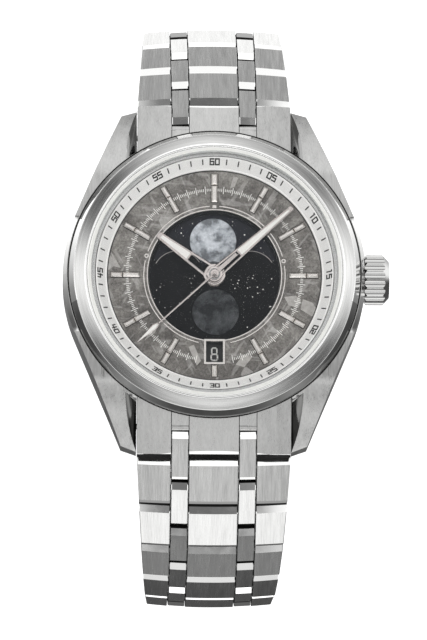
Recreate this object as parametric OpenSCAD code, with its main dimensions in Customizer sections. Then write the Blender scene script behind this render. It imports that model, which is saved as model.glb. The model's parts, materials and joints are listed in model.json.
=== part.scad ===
// Moon phase wristwatch on a five-column steel bracelet with a folding clasp.
// +Z points out of the crystal, +Y towards twelve o'clock, +X towards the crown.
// The origin is the centre of the case back's outer face.

/* [Case body] */
// Width of the case across its flanks, without the crown
case_w = 43; // [42:0.5:46]
// Length over the lugs, from inner tip corner to inner tip corner
lug_span = 49.5; // [48:0.5:52]
// Room between the two lugs of a pair
lug_gap = 22; // [21:0.5:22.5]
// Width of a lug at its tip
lug_tip_w = 2.2; // [1.8:0.1:2.6]
// How much further the tip's inner corner reaches than its outer corner
lug_tip_slant = 0.75; // [0.3:0.05:1]
// Height of the case body's top above the case back
case_top_z = 9.1; // [8.9:0.1:9.6]
// Height of the case body's underside above the case back
case_floor_z = 1.6; // [1.4:0.1:1.8]
// Distance of the lugs' shoulder from the centre, where the top starts to fall
shoulder_y = 14.5; // [13:0.5:16]
// Height of the lug tip's upper edge
lug_tip_top_z = 4.0; // [3.6:0.1:4.4]
// Height of the lug tip's lower edge
lug_tip_low_z = 0.9; // [0.6:0.1:1.2]
// Diameter of the room for movement and dial
chamber_d = 34; // [33.6:0.1:34.4]
// Diameter of the case wall under the end links
barrel_d = 39.2; // [39:0.1:39.6]
// Diameter of the thin flange above the end links
flange_d = 42.2; // [41.8:0.1:42.6]
// Thickness of that flange
flange_t = 0.8; // [0.6:0.1:1]
// Width of the polished bevel round the case body's top edge
case_bevel = 0.55; // [0.3:0.05:0.7]
// Width of the polished facet inside each lug, where it meets the flange
lug_facet_w = 2; // [1.5:0.1:2.4]

/* [Bezel and crystal] */
// Diameter of the bezel where it meets the case
bezel_base_d = 41.4; // [41.2:0.1:41.8]
// Outer diameter of the bezel's brushed face
bezel_face_d = 39.8; // [39.4:0.1:40.2]
// Inner diameter of the bezel's brushed face
bezel_in_d = 36.7; // [36.5:0.1:37]
// Height of the bezel's inner edge above the case body
bezel_h = 2.3; // [2.2:0.1:2.6]
// Height of the bezel's polished outer bevel
bezel_side_h = 1.5; // [1.3:0.1:1.7]
// Diameter of the sapphire crystal
crystal_d = 35; // [34.8:0.1:35.2]
// Thickness of the crystal
crystal_t = 1.6; // [1.4:0.1:1.8]
// How far the crystal stands above the bezel's inner edge
crystal_proud = 0.3; // [0.1:0.05:0.4]
// Bevel on the crystal's edge
crystal_bevel = 0.35; // [0.2:0.05:0.5]
// Wall of the crystal gasket
crystal_gasket_t = 0.4; // [0.3:0.05:0.5]

/* [Dial] */
// Outer diameter of the dial plate
dial_d = 33; // [32.6:0.1:33.2]
// Thickness of the dial plate
dial_t = 0.4; // [0.3:0.05:0.5]
// Depth of the dial's top below the crystal's inner face
dial_depth = 1.8; // [1.75:0.05:1.9]
// Diameter of the dial's centre opening
moon_hole_d = 18.9; // [18.6:0.1:19.1]
// Inner diameter of the sloping minute ring
ring_in_d = 30.5; // [30.3:0.1:30.8]
// Height of the minute ring's inner edge over the dial
ring_step = 0.3; // [0.2:0.05:0.4]
// Distance of the hour markers' outer ends from the centre
marker_r = 14.7; // [14.5:0.05:14.8]
// Distance of the gap between a marker's outer and inner block
marker_split_r = 13.05; // [12.8:0.05:13.3]
// Distance of the hour markers' inner ends
marker_in_r = 10.6; // [10.4:0.05:10.9]
// Width of an hour marker
marker_w = 0.72; // [0.5:0.02:0.8]
// Height of an hour marker
marker_h = 0.4; // [0.3:0.05:0.45]
// Width of the marker at twelve
marker_12_w = 0.85; // [0.7:0.05:1]
// Gap between the two blocks of a marker
marker_split = 0.12; // [0.08:0.02:0.2]
// Distance of the date window's middle from the centre
date_r = 11.1; // [11:0.05:11.2]
// Width of the date window
date_w = 2.4; // [2.2:0.1:2.5]
// Length of the date window
date_l = 3.05; // [2.9:0.05:3.1]
// Width of the frame round the date window
date_frame_w = 0.28; // [0.2:0.02:0.32]

/* [Moon display] */
// Distance of each moon's middle from the centre
moon_r = 5.15; // [5:0.05:5.3]
// Diameter of a moon
moon_d = 6.6; // [6.4:0.1:6.8]
// Radius of the humps that cover a moon at either side
hump_r = 3.6; // [3.55:0.05:3.65]
// Outer radius of the open window in the smoked disc
window_r = 8.9; // [8.8:0.05:9]
// Thickness of the smoked disc
smoked_t = 0.25; // [0.2:0.05:0.3]

/* [Hands] */
// Length of the hour hand from its axis
hour_l = 9.95; // [9:0.05:10.2]
// Length of the minute hand from its axis
minute_l = 14.7; // [14:0.1:14.9]
// Length of the seconds hand from its axis
second_l = 14.9; // [14:0.1:15]
// Length of the seconds hand's counterweight
second_tail = 4.2; // [3.5:0.1:5]
// Width of the seconds hand
second_w = 0.26; // [0.2:0.02:0.3]
// Length of the leaf at the seconds hand's tip
leaf_l = 4.2; // [3.5:0.1:4.5]
// Greatest width of that leaf
leaf_w = 0.85; // [0.6:0.05:0.9]
// Width of the hour hand at its hub
hour_w = 2.0; // [1.8:0.05:2.2]
// Width of the hour hand at its tip
hour_tip_w = 0.9; // [0.6:0.05:1]
// Width of the minute hand at its hub
minute_w = 1.8; // [1.6:0.05:2]
// Width of the minute hand at its tip
minute_tip_w = 0.7; // [0.4:0.05:0.8]
// Thickness of a hand
hand_t = 0.2; // [0.15:0.01:0.22]
// Clockwise angle of the hour hand from twelve
hour_angle = 306; // [0:1:359]
// Clockwise angle of the minute hand from twelve
minute_angle = 48.7; // [0:0.1:359]
// Clockwise angle of the seconds hand from twelve
second_angle = 227.5; // [0:0.1:359]

/* [Movement] */
// Diameter of the movement
movement_d = 27.2; // [26.8:0.1:27.6]
// Thickness of the main plate
main_plate_t = 3.0; // [2.8:0.1:3.1]
// Thickness of the train bridge and the balance cock
bridge_t = 0.8; // [0.7:0.05:0.9]
// Thickness of the rotor's outer weight
rotor_weight_t = 0.9; // [0.7:0.05:1]
// Radius of the rotor
rotor_r = 13; // [12.5:0.1:13.2]
// Radius of the hour wheel that carries the hour hand
hour_wheel_r = 4.2; // [3.8:0.1:4.3]
// Radius of the balance wheel
balance_r = 4.0; // [3.6:0.1:4.2]
// Distance of the balance wheel's rim from the edge of the movement
balance_edge = 1.51; // [1.3:0.01:1.7]
// Direction of the balance wheel from the centre, below nine o'clock
balance_angle = 40; // [35:1:45]

/* [Case back] */
// Outer diameter of the case back
back_d = 38.4; // [38:0.1:38.8]
// Diameter of the view through the case back
back_view_d = 26.6; // [26:0.1:27]
// Diameter of the case back's crystal
back_crystal_d = 28; // [27.6:0.1:28.4]
// Thickness of the case back's crystal
back_crystal_t = 1.0; // [0.8:0.1:1.1]
// Number of case back screws
back_screws = 6; // [4:1:8]

/* [Crown] */
// Diameter of the crown
crown_d = 7.2; // [6.8:0.1:7.6]
// Length of the crown
crown_l = 3.5; // [3.2:0.1:3.8]
// Height of the crown's axis above the case back
crown_z = 5.4; // [5.2:0.1:5.6]
// Number of rounded flutes
crown_flutes = 18; // [14:1:22]
// How far the crown pulls out to set the hands
crown_pull = 1.6; // [1:0.1:1.8]
// Diameter of the winding stem
stem_d = 1.0; // [0.9:0.05:1.1]
// Outer diameter of the crown tube
tube_d = 2.5; // [2.4:0.05:2.7]

/* [Bracelet] */
// Distance from row to row along the bracelet
pitch = 7.3; // [7.1:0.05:7.5]
// Thickness of a link
link_t = 3.0; // [2.8:0.05:3.1]
// Gap between a row and the next at full stretch
row_gap = 0.25; // [0.2:0.01:0.3]
// Gap between the columns of a row
column_gap = 0.1; // [0.08:0.01:0.15]
// Width of the middle column
centre_w = 7.0; // [6.6:0.1:7.2]
// Width of a narrow column
narrow_w = 2.4; // [2.2:0.1:2.6]
// Width of an outer column where the bracelet stops tapering
outer_end_w = 2.9; // [2.6:0.1:3.2]
// Rows over which the bracelet tapers
taper_rows = 5; // [4:1:6]
// Radius of the bracelet's gentle crown across its width
crown_round_r = 85; // [70:5:120]
// Radius of a link pin
pin_r = 0.5; // [0.45:0.01:0.52]
// Extra room behind each wide link
link_relief = 0.4; // [0:0.05:0.4]
// Length of the polished bevel at a row's upper end
bevel_start = 0.8; // [0.6:0.1:1]
// Depth of the polished bevel at a row's upper end
start_depth = 0.7; // [0.4:0.05:0.8]
// Length of the polished bevel at a row's lower end
bevel_end = 0.5; // [0.4:0.05:0.7]
// Depth of the polished bevel at a row's lower end
bevel_depth = 0.35; // [0.25:0.05:0.4]
// Distance of the first link pin from the centre
first_pin_y = 23.4; // [23.3:0.05:23.6]
// Height of the first link pin above the case back
first_pin_z = 5.0; // [4.9:0.05:5.1]
// Downward slope of the end links
end_slope = 15; // [14:0.5:16]

/* [Clasp] */
// Width of the clasp cover
clasp_w = 18.6; // [18.4:0.1:19]
// Thickness of the clasp cover's plate and walls
clasp_t = 0.8; // [0.7:0.05:0.85]
// Depth of the clasp cover's side walls below the links' middle
clasp_wall_h = 2.9; // [2.8:0.05:3.1]
// Width of the folding blades
blade_w = 12.8; // [12:0.1:13]
// Thickness of the folding blades
blade_t = 0.8; // [0.7:0.05:0.8]
// Radius of a release button
button_r = 1.1; // [1:0.05:1.2]
// Travel of a release button
button_travel = 0.7; // [0.5:0.05:0.8]

/* [Hidden] */
// Turn of each row against the one before, at rest, in degrees
turns_6 = [16, 14, 17, 13, 13, 22, 22, 20, 18];
turns_12 = [20, 9, 12, 24, 18, 18, 22, 22];
clasp_turn_angle = 16;

// Shared small values
run_gap = 0.05;
press_gap = 0.01;
face_gap = 0.3;
cut = 1;
steel = "silver";
pale_steel = "gainsboro";

// Heights that follow from one another, upwards
bezel_top_z = case_top_z + bezel_h;
crystal_top_z = bezel_top_z + crystal_proud;
crystal_low_z = crystal_top_z - crystal_t;
dial_top_z = crystal_low_z - dial_depth;
dial_low_z = dial_top_z - dial_t;
smoked_low_z = dial_low_z - smoked_t;
disc_t = 0.2;
disc_low_z = smoked_low_z - face_gap - disc_t;
plate_gap = 0.25;
plate_top_z = disc_low_z - plate_gap;
plate_low_z = plate_top_z - main_plate_t;
bridge_low_z = plate_low_z - bridge_t;
rotor_gap = 0.25;
rotor_top_z = bridge_low_z - rotor_gap;
rotor_thin_t = 0.4;
hour_z = dial_top_z + 0.875 * marker_h;
hand_step = 0.45;
minute_z = hour_z + hand_step;
second_z = minute_z + hand_step;
second_t = hand_t / 2;

// Hands and the work that carries them
hour_tube_r = 1.2;
cannon_r = 0.8;
second_pin_r = 0.35;
wheel_t = 0.35;
wheel_sink = 0.25;
train_gap = 0.4;
train_r = hour_wheel_r + train_gap;
hub_bore_r = hour_tube_r + face_gap;
hub_r = hub_bore_r + 2 * face_gap;
moon_disc_r = moon_hole_d / 2 - 4 * run_gap;
smoked_r = moon_hole_d / 2 + 1.5 * face_gap;

// Movement pieces: each bridge screw has its distance as a share and its angle
rotor_low_z = rotor_top_z - rotor_thin_t;
post_r = 0.9;
staff_r = 0.25;
balance_t = 0.4;
balance_z = plate_low_z + 0.7 * face_gap;
cock_w = 3.4;
cock_gap = 0.2;
bridge_screw_r = 0.8;
balance_axis_r = movement_d / 2 - balance_edge - balance_r;
balance_x = balance_axis_r * cos(balance_angle);
balance_y = balance_axis_r * sin(balance_angle);
screw_shares = [[0.62, 28], [0.72, 75], [0.72, 128], [0.66, 330]];

// Case back pieces
back_lip = 0.35;
skirt_gap = 0.1;
gasket_t = 0.5;
gasket_in_r = chamber_d / 2 + 1.2 * face_gap;
gasket_out_r = gasket_in_r + 1.8 * face_gap;
back_screw_r = (gasket_out_r + back_d / 2) / 2;
screw_r = 0.3;
screw_head_r = 0.55;
screw_head_t = 0.5;
screw_top_z = case_floor_z + 6 * face_gap;

// Crown pieces
crown_cap = 0.9;
crown_well_r = tube_d / 2 + stem_d / 2;
crown_well_l = crown_l - crown_cap - 2 * face_gap;

// Heights and radii of the case
case_r = case_w / 2;
chamber_r = chamber_d / 2;
barrel_r = barrel_d / 2;
flange_r = flange_d / 2;
flange_low_z = case_top_z - flange_t;
ring_out_r = chamber_r - face_gap / 2;
ring_rim = 0.2;
movement_seat = 0.1;
tip_out = [lug_gap / 2 + lug_tip_w, lug_span / 2 - lug_tip_slant];
tip_in = [lug_gap / 2, lug_span / 2];
tip_angle = atan2(tip_out[1], tip_out[0]);
tangent_angle = tip_angle - acos(case_r / norm(tip_out));
lug_tangent = case_r * [cos(tangent_angle), sin(tangent_angle)];
foot_y = back_d / 2 + 2 * run_gap;
mid_drop_share = 0.3;
leaf_broad_share = 0.84;
mid_reach_share = 0.55;
lug_reach = lug_span / 2 - shoulder_y;
lug_drop = case_top_z - lug_tip_top_z;
spring_bar_y = first_pin_y - 2.4 * link_t / 3;
spring_bar_z = first_pin_z - 1.4 * link_t / 3;
spring_bar_r = 0.75;
spring_tip_r = 0.4;
spring_tip_l = 0.9;
crown_seat_share = 0.972;
crown_seat_x = crown_seat_share * case_r;
crown_x = crown_seat_x + 1.5 * face_gap;
tube_bore_r = stem_d / 2 + run_gap;
tube_out_l = 1.3;
stem_in_x = 0.62 * movement_d / 2;

// Chain geometry, in the frame of a row: +Y along the bracelet, +Z outwards
half_t = link_t / 2;
pin_pitch = pitch / 2;
wrap_r = pitch / 4 - row_gap / 2;
rear_y = pitch / 4 + row_gap / 2;
bracelet_w = lug_gap - 2 * column_gap;
narrow_x = centre_w / 2 + column_gap;
outer_x = narrow_x + narrow_w + column_gap;
outer_w0 = bracelet_w / 2 - outer_x;
rows_6 = len(turns_6);
rows_12 = len(turns_12);

// Clasp geometry, in the frame of its first pin
function sum_to(list, n) = n <= 0 ? 0 : list[n - 1] + sum_to(list, n - 1);
function row_angle(turns, k) = end_slope + sum_to(turns, k);
function row_dir(angle) = [cos(angle), -sin(angle)];
function row_pin(turns, k) = k <= 0 ? [first_pin_y, first_pin_z]
    : row_pin(turns, k - 1) + pitch * row_dir(row_angle(turns, k));
function flip(p) = [-p[0], p[1]];
last_6 = flip(row_pin(turns_6, rows_6));
last_12 = row_pin(turns_12, rows_12);
clasp_angle = row_angle(turns_12, rows_12) + clasp_turn_angle;
clasp_reach = norm(last_6 - last_12);
clasp_end_y = clasp_reach - wrap_r - face_gap;
hinge_b_y = clasp_end_y - 2 * clasp_t;
hinge_b_z = -0.5 * blade_t;
hinge_a_y = rear_y + 4 * blade_t;
knuckle_r = blade_t;
hinge_a_z = hinge_b_z - 2 * knuckle_r + 0.1 * blade_t;
hinge_pin_r = knuckle_r / 2;
blade_end_y = hinge_b_y - 2 * knuckle_r;
button_y = clasp_end_y - 8 * button_r;
button_z = hinge_b_z - 0.75 * button_r;

// Helpers
module ring(outer_r, inner_r, h) {
    difference() {
        cylinder(r = outer_r, h = h, $fn = 96);
        translate([0, 0, -cut]) cylinder(r = inner_r, h = h + 2 * cut, $fn = 96);
    }
}

module rod_x(r, x0, x1) {
    translate([x0, 0, 0]) rotate([0, 90, 0]) cylinder(r = r, h = x1 - x0, $fn = 48);
}

module quarters() {
    for (sx = [0, 1], sy = [0, 1]) mirror([sx, 0, 0]) mirror([0, sy, 0]) children();
}

module both_x() {
    children();
    mirror([1, 0, 0]) children();
}

module clockwise(angle) {
    rotate([0, 0, -angle]) children();
}

// Case body
module lug_plan() {
    polygon([[0, 0], lug_tangent, tip_out, tip_in, [0, lug_span / 2]]);
}

module case_profile() {
    // Half of the side view, heights over the distance from the centre
    steps = 8;
    shoulder = [shoulder_y, case_top_z];
    middle = [shoulder_y + mid_reach_share * lug_reach, case_top_z - mid_drop_share * lug_drop];
    tip = [lug_span / 2, lug_tip_top_z];
    fall = [for (i = [0:steps]) let (s = i / steps)
        (1 - s) * (1 - s) * shoulder + 2 * s * (1 - s) * middle + s * s * tip];
    polygon(concat([[0, case_floor_z], [foot_y, case_floor_z],
        [lug_span / 2, lug_tip_low_z]], [for (i = [steps:-1:0]) fall[i]], [[0, case_top_z]]));
}

module half_space(a, b, c) {
    // Everything beyond the plane through three points
    n = cross(b - a, c - a);
    translate(a) rotate([0, acos(n[2] / norm(n)), atan2(n[1], n[0])])
        translate([-case_w, -case_w, 0]) cube([2 * case_w, 2 * case_w, case_w]);
}

module lug_facet() {
    // Leaves the polished triangle between a lug's inner side and its top
    slope_y = 0.7 * lug_span / 2;
    slope_z = case_top_z - 0.1 * lug_drop;
    tip = [tip_in[0], tip_in[1], lug_tip_top_z];
    difference() {
        half_space(tip, [tip_in[0], slope_y, slope_z - lug_facet_w],
            [tip_in[0] + lug_facet_w, slope_y, slope_z]);
        cylinder(r = flange_r, h = 2 * case_top_z, $fn = 128);
        translate([-case_w, -case_w, -case_w]) cube([2 * case_w, case_w, 3 * case_w]);
        translate([-2 * case_w, -case_w, -case_w]) cube([2 * case_w, 3 * case_w, 3 * case_w]);
    }
}

module case_block() {
    intersection() {
        union() {
            translate([0, 0, lug_tip_low_z]) cylinder(r = case_r, h = case_top_z - lug_tip_low_z,
                $fn = 128);
            linear_extrude(case_top_z) union() quarters() lug_plan();
        }
        union() {
            rotate([90, 0, 90]) translate([0, 0, -case_w]) linear_extrude(2 * case_w)
                union() { case_profile(); mirror([1, 0]) case_profile(); }
        }
        union() {
            // Polished bevel round the top edge, open over the lugs
            rotate_extrude($fn = 128) polygon([[0, 0], [case_r, 0],
                [case_r, case_top_z - 1.6 * case_bevel], [case_r - case_bevel, case_top_z],
                [0, case_top_z]]);
            for (sy = [0, 1]) mirror([0, sy, 0])
                translate([-case_w, lug_tangent[1], 0]) cube([2 * case_w, case_w, case_w]);
        }
    }
}

module mid_case() {
    color(steel) difference() {
        case_block();
        // Room for the movement, open below and above
        translate([0, 0, case_floor_z - cut]) cylinder(r = chamber_r,
            h = case_top_z - case_floor_z + 2 * cut, $fn = 128);
        // Room for the end links between the lugs, under the flange
        for (sy = [0, 1]) mirror([0, sy, 0]) {
            difference() {
                translate([-lug_gap / 2, 0, -cut]) cube([lug_gap, lug_span, flange_low_z + cut]);
                translate([0, 0, -2 * cut]) cylinder(r = barrel_r, h = case_top_z + 4 * cut, $fn = 128);
            }
            difference() {
                translate([-lug_gap / 2, 0, 0]) cube([lug_gap, lug_span, case_top_z + cut]);
                translate([0, 0, -cut]) cylinder(r = flange_r, h = case_top_z + 4 * cut, $fn = 128);
            }
        }
        quarters() lug_facet();
        quarters() translate([0, spring_bar_y, spring_bar_z])
            rod_x(spring_tip_r + run_gap, lug_gap / 2 - cut, lug_gap / 2 + spring_tip_l + run_gap);
        // Seat, tube bore and gasket groove
        translate([0, 0, crown_z]) {
            rod_x(crown_d / 2 + face_gap, crown_seat_x, case_w);
            rod_x(tube_d / 2, 0, case_w);
        }
        translate([0, 0, case_floor_z - cut]) difference() {
            cylinder(r = gasket_out_r, h = gasket_t + cut, $fn = 96);
            translate([0, 0, -cut]) cylinder(r = gasket_in_r, h = gasket_t + 4 * cut, $fn = 96);
        }
        for (i = [0:back_screws - 1]) rotate([0, 0, (i + 0.5) * 360 / back_screws])
            translate([back_screw_r, 0, 0]) cylinder(r = screw_r, h = screw_top_z, $fn = 24);
    }
}

// Bezel, crystal and minute ring
module bezel() {
    base_r = bezel_base_d / 2;
    face_r = bezel_face_d / 2;
    in_r = bezel_in_d / 2;
    bore_r = crystal_d / 2 + crystal_gasket_t;
    lip_z = crystal_low_z;
    color(pale_steel) rotate_extrude($fn = 128) polygon([[chamber_r - face_gap / 3, case_top_z],
        [base_r, case_top_z], [base_r - face_gap / 6, case_top_z + face_gap / 2],
        [face_r, case_top_z + bezel_side_h], [in_r, bezel_top_z],
        [bore_r, bezel_top_z - face_gap], [bore_r, lip_z], [chamber_r - face_gap / 3, lip_z]]);
}

module crystal() {
    r = crystal_d / 2;
    color("lightcyan", 0.3) rotate_extrude($fn = 128) polygon([[0, crystal_low_z], [r, crystal_low_z],
        [r, crystal_top_z - crystal_bevel], [r - crystal_bevel, crystal_top_z], [0, crystal_top_z]]);
}

module crystal_gasket() {
    color("whitesmoke") translate([0, 0, crystal_low_z])
        ring(crystal_d / 2 + crystal_gasket_t, crystal_d / 2, bezel_top_z - face_gap - crystal_low_z);
}

module minute_ring() {
    in_r = ring_in_d / 2;
    color("lightgrey") rotate_extrude($fn = 128) polygon([[in_r, dial_top_z], [ring_out_r, dial_top_z],
        [ring_out_r, crystal_low_z], [ring_out_r - ring_rim, crystal_low_z],
        [in_r + ring_rim, dial_top_z + ring_step], [in_r, dial_top_z + ring_step]]);
}

// Dial
module dial_plate() {
    color("darkgrey") difference() {
        translate([0, 0, dial_low_z]) cylinder(r = dial_d / 2, h = dial_t, $fn = 128);
        translate([0, 0, dial_low_z - cut]) cylinder(r = moon_hole_d / 2, h = dial_t + 2 * cut, $fn = 128);
        translate([-date_w / 2, -date_r - date_l / 2, dial_low_z - cut])
            cube([date_w, date_l, dial_t + 2 * cut]);
    }
}

module baton(w, r_in, r_out, h) {
    top_share = 0.45;
    edge_share = 0.55;
    translate([0, r_out, 0]) rotate([90, 0, 0]) linear_extrude(r_out - r_in)
        polygon([[-w / 2, 0], [w / 2, 0], [w / 2, edge_share * h], [top_share * w / 2, h],
            [-top_share * w / 2, h], [-w / 2, edge_share * h]]);
}

module hour_markers() {
    color("silver") translate([0, 0, dial_top_z]) for (hour = [1:12]) clockwise(hour * 30) {
        w = hour == 12 ? marker_12_w : marker_w;
        if (hour == 6)
            baton(w, date_r + date_l / 2 + date_frame_w + marker_split, marker_r, marker_h);
        else {
            baton(w, marker_split_r + marker_split / 2, marker_r, marker_h);
            baton(w, marker_in_r, marker_split_r - marker_split / 2, marker_h);
        }
    }
}

module date_frame() {
    w = date_w + 2 * date_frame_w;
    l = date_l + 2 * date_frame_w;
    h = marker_h / 2;
    color("silver") translate([0, -date_r, dial_top_z]) difference() {
        translate([-w / 2, -l / 2, 0]) cube([w, l, h]);
        translate([-date_w / 2, -date_l / 2, -cut]) cube([date_w, date_l, h + 2 * cut]);
    }
}

module window_shape() {
    // Open sky: a half disc less the two humps and the middle boss
    end_y = 0.25 * window_r;
    end_x = 0.88 * window_r;
    difference() {
        circle(r = window_r, $fn = 96);
        translate([-2 * window_r, -2 * window_r]) square([4 * window_r, 2 * window_r]);
        for (sx = [-1, 1]) translate([sx * moon_r, 0]) circle(r = hump_r, $fn = 64);
        for (sx = [0, 1]) mirror([sx, 0]) translate([end_x, -end_y]) square([end_x, 2 * end_y]);
        circle(r = hub_r, $fn = 48);
    }
}

module smoked_disc() {
    color("dimgray", 0.6) translate([0, 0, smoked_low_z]) linear_extrude(smoked_t) difference() {
        circle(r = smoked_r, $fn = 96);
        window_shape();
        circle(r = hub_bore_r, $fn = 48);
    }
}

module moon_disc() {
    relief = disc_t / 4;
    color("midnightblue") translate([0, 0, disc_low_z]) union() {
        ring(moon_disc_r, hub_bore_r, disc_t);
        for (s = [-1, 1]) clockwise(-2) translate([0, s * moon_r, 0])
            cylinder(r = moon_d / 2, h = disc_t + relief, $fn = 64);
    }
}

module date_disc() {
    inner_r = moon_disc_r + face_gap;
    outer_r = dial_d / 2 - 6 * face_gap;
    color("black") translate([0, 0, disc_low_z]) ring(outer_r, inner_r, disc_t);
}

// Hands, each drawn towards twelve and then turned to its hour
module hand_plate(l, w, tip_w, hub, bore, window_from, window_to) {
    // Tapers from hub to tip, with a window inside an even frame
    frame_w = 0.15 * w;
    function half_w(r) = (w + (tip_w - w) * r / l) / 2;
    difference() {
        union() {
            polygon([[-w / 2, 0], [w / 2, 0], [tip_w / 2, l - tip_w / 3], [tip_w / 6, l],
                [-tip_w / 6, l], [-tip_w / 2, l - tip_w / 3]]);
            circle(r = hub, $fn = 48);
        }
        circle(r = bore, $fn = 48);
        polygon([
            [-half_w(window_from) + frame_w, window_from],
            [half_w(window_from) - frame_w, window_from],
            [half_w(window_to) - frame_w, window_to],
            [-half_w(window_to) + frame_w, window_to]]);
    }
}

module hour_hand() {
    color("silver") translate([0, 0, hour_z]) clockwise(hour_angle) linear_extrude(hand_t)
        hand_plate(hour_l, hour_w, hour_tip_w, hour_tube_r + 0.15 * hour_w, hour_tube_r,
            hour_tube_r + 0.3 * hour_w, 0.48 * hour_l);
}

module hour_wheel() {
    // Toothed wheel under the discs, with the tube that carries the hour hand
    teeth = 30;
    tooth = 0.85 * wheel_t;
    wheel_z = plate_top_z - wheel_sink;
    color("goldenrod") difference() {
        union() {
            translate([0, 0, wheel_z]) linear_extrude(wheel_t) union() {
                circle(r = hour_wheel_r - tooth, $fn = 64);
                for (i = [0:teeth - 1]) rotate([0, 0, i * 360 / teeth])
                    translate([hour_wheel_r - 2 * tooth, -tooth / 2]) square([2 * tooth, tooth]);
            }
            translate([0, 0, wheel_z]) cylinder(r = hour_tube_r, h = hour_z + hand_t - wheel_z, $fn = 48);
        }
        translate([0, 0, wheel_z - cut]) cylinder(r = cannon_r + run_gap,
            h = hour_z + hand_t - wheel_z + 2 * cut, $fn = 48);
    }
}

module minute_hand() {
    color("silver") translate([0, 0, minute_z]) clockwise(minute_angle) linear_extrude(hand_t)
        hand_plate(minute_l, minute_w, minute_tip_w, cannon_r + 0.15 * minute_w, cannon_r,
            cannon_r + 0.4 * minute_w, 0.32 * minute_l);
}

module cannon_pinion() {
    low_z = plate_top_z - wheel_sink - wheel_t;
    color("goldenrod") difference() {
        union() {
            translate([0, 0, low_z]) cylinder(r = cannon_r, h = minute_z + hand_t - low_z, $fn = 48);
            translate([0, 0, low_z]) cylinder(r = 1.4 * cannon_r, h = 0.7 * wheel_t, $fn = 14);
        }
        translate([0, 0, low_z - cut]) cylinder(r = second_pin_r + run_gap,
            h = minute_z + hand_t - low_z + 2 * cut, $fn = 48);
    }
}

module seconds_hand() {
    tail_w = 2.4 * second_w;
    low_z = plate_low_z + main_plate_t / 5;
    color("silver") union() {
        translate([0, 0, second_z]) clockwise(second_angle) linear_extrude(second_t) union() {
            translate([-second_w / 2, 0]) square([second_w, second_l - 0.9 * leaf_l]);
            polygon([[-second_w / 2, second_l - leaf_l], [second_w / 2, second_l - leaf_l],
                [leaf_w / 2, second_l - leaf_broad_share * leaf_l], [second_w / 4, second_l],
                [-second_w / 4, second_l], [-leaf_w / 2, second_l - leaf_broad_share * leaf_l]]);
            translate([-tail_w / 2, -second_tail]) square([tail_w, second_tail]);
            circle(r = 2 * second_pin_r, $fn = 48);
        }
        translate([0, 0, low_z]) cylinder(r = second_pin_r, h = second_z + second_t - low_z, $fn = 48);
    }
}

// Movement
module balance_pocket(r, z0, h) {
    translate([-balance_x, -balance_y, z0]) cylinder(r = r, h = h, $fn = 64);
}

module main_plate() {
    r = movement_d / 2;
    color("lightgrey") difference() {
        translate([0, 0, plate_low_z]) cylinder(r = r, h = main_plate_t, $fn = 96);
        // Recess for the motion work, and the bore through the middle
        translate([0, 0, plate_top_z - wheel_sink - 2 * wheel_t]) cylinder(r = train_r, h = main_plate_t,
            $fn = 64);
        translate([0, 0, plate_low_z - cut]) cylinder(r = second_pin_r + run_gap,
            h = main_plate_t + 2 * cut, $fn = 32);
        balance_pocket(balance_r + face_gap, plate_low_z - cut, main_plate_t / 2 + cut);
        balance_pocket(staff_r + run_gap, plate_low_z - cut, main_plate_t - wheel_t + cut);
        translate([0, 0, crown_z]) rod_x(stem_d / 2 + face_gap, stem_in_x - face_gap, movement_d);
    }
}

module balance_wheel() {
    rim = 0.14 * balance_r;
    color("goldenrod") translate([-balance_x, -balance_y, 0]) union() {
        translate([0, 0, balance_z]) ring(balance_r, balance_r - rim, balance_t);
        translate([0, 0, balance_z]) for (a = [0, 120, 240]) rotate([0, 0, a])
            translate([0, -rim / 2, 0]) cube([balance_r - rim / 2, rim, balance_t]);
        translate([0, 0, balance_z]) cylinder(r = 3 * staff_r, h = 2 * balance_t, $fn = 32);
        translate([0, 0, bridge_low_z + bridge_t / 2]) cylinder(r = staff_r,
            h = plate_top_z - 2 * wheel_t - bridge_low_z - bridge_t / 2, $fn = 32);
    }
}

module cock_plan(extra) {
    // From the rim of the movement to the end of the balance staff
    angle = atan2(-balance_y, -balance_x);
    intersection() {
        circle(r = movement_d / 2, $fn = 96);
        translate([-balance_x, -balance_y]) union() {
            circle(r = cock_w / 2 + extra, $fn = 48);
            rotate([0, 0, angle]) translate([0, -cock_w / 2 - extra])
                square([movement_d, cock_w + 2 * extra]);
        }
    }
}

module balance_cock() {
    color("gainsboro") translate([0, 0, bridge_low_z]) difference() {
        linear_extrude(bridge_t) cock_plan(0);
        translate([-balance_x, -balance_y, bridge_t / 2]) cylinder(r = staff_r + run_gap, h = cut, $fn = 32);
    }
}

module train_bridge() {
    color("gainsboro") union() {
        translate([0, 0, bridge_low_z]) difference() {
            linear_extrude(bridge_t) difference() {
                circle(r = movement_d / 2, $fn = 96);
                translate([-balance_x, -balance_y]) circle(r = balance_r + face_gap, $fn = 64);
                cock_plan(cock_gap);
            }
            for (s = screw_shares) rotate([0, 0, s[1]]) translate([s[0] * movement_d / 2, 0, -cut])
                cylinder(r = bridge_screw_r, h = bridge_t / 2 + cut, $fn = 32);
        }
        // Post that carries the rotor's bearing
        translate([0, 0, rotor_low_z]) cylinder(r = post_r, h = bridge_low_z + bridge_t / 2 - rotor_low_z,
            $fn = 48);
    }
}

module bridge_screws() {
    slot = 0.3 * bridge_screw_r;
    color("steelblue") for (s = screw_shares) rotate([0, 0, s[1]])
        translate([s[0] * movement_d / 2, 0, bridge_low_z]) difference() {
            cylinder(r = bridge_screw_r, h = bridge_t / 2, $fn = 32);
            translate([-bridge_screw_r, -slot / 2, -cut]) cube([2 * bridge_screw_r, slot, slot / 2 + cut]);
        }
}

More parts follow.
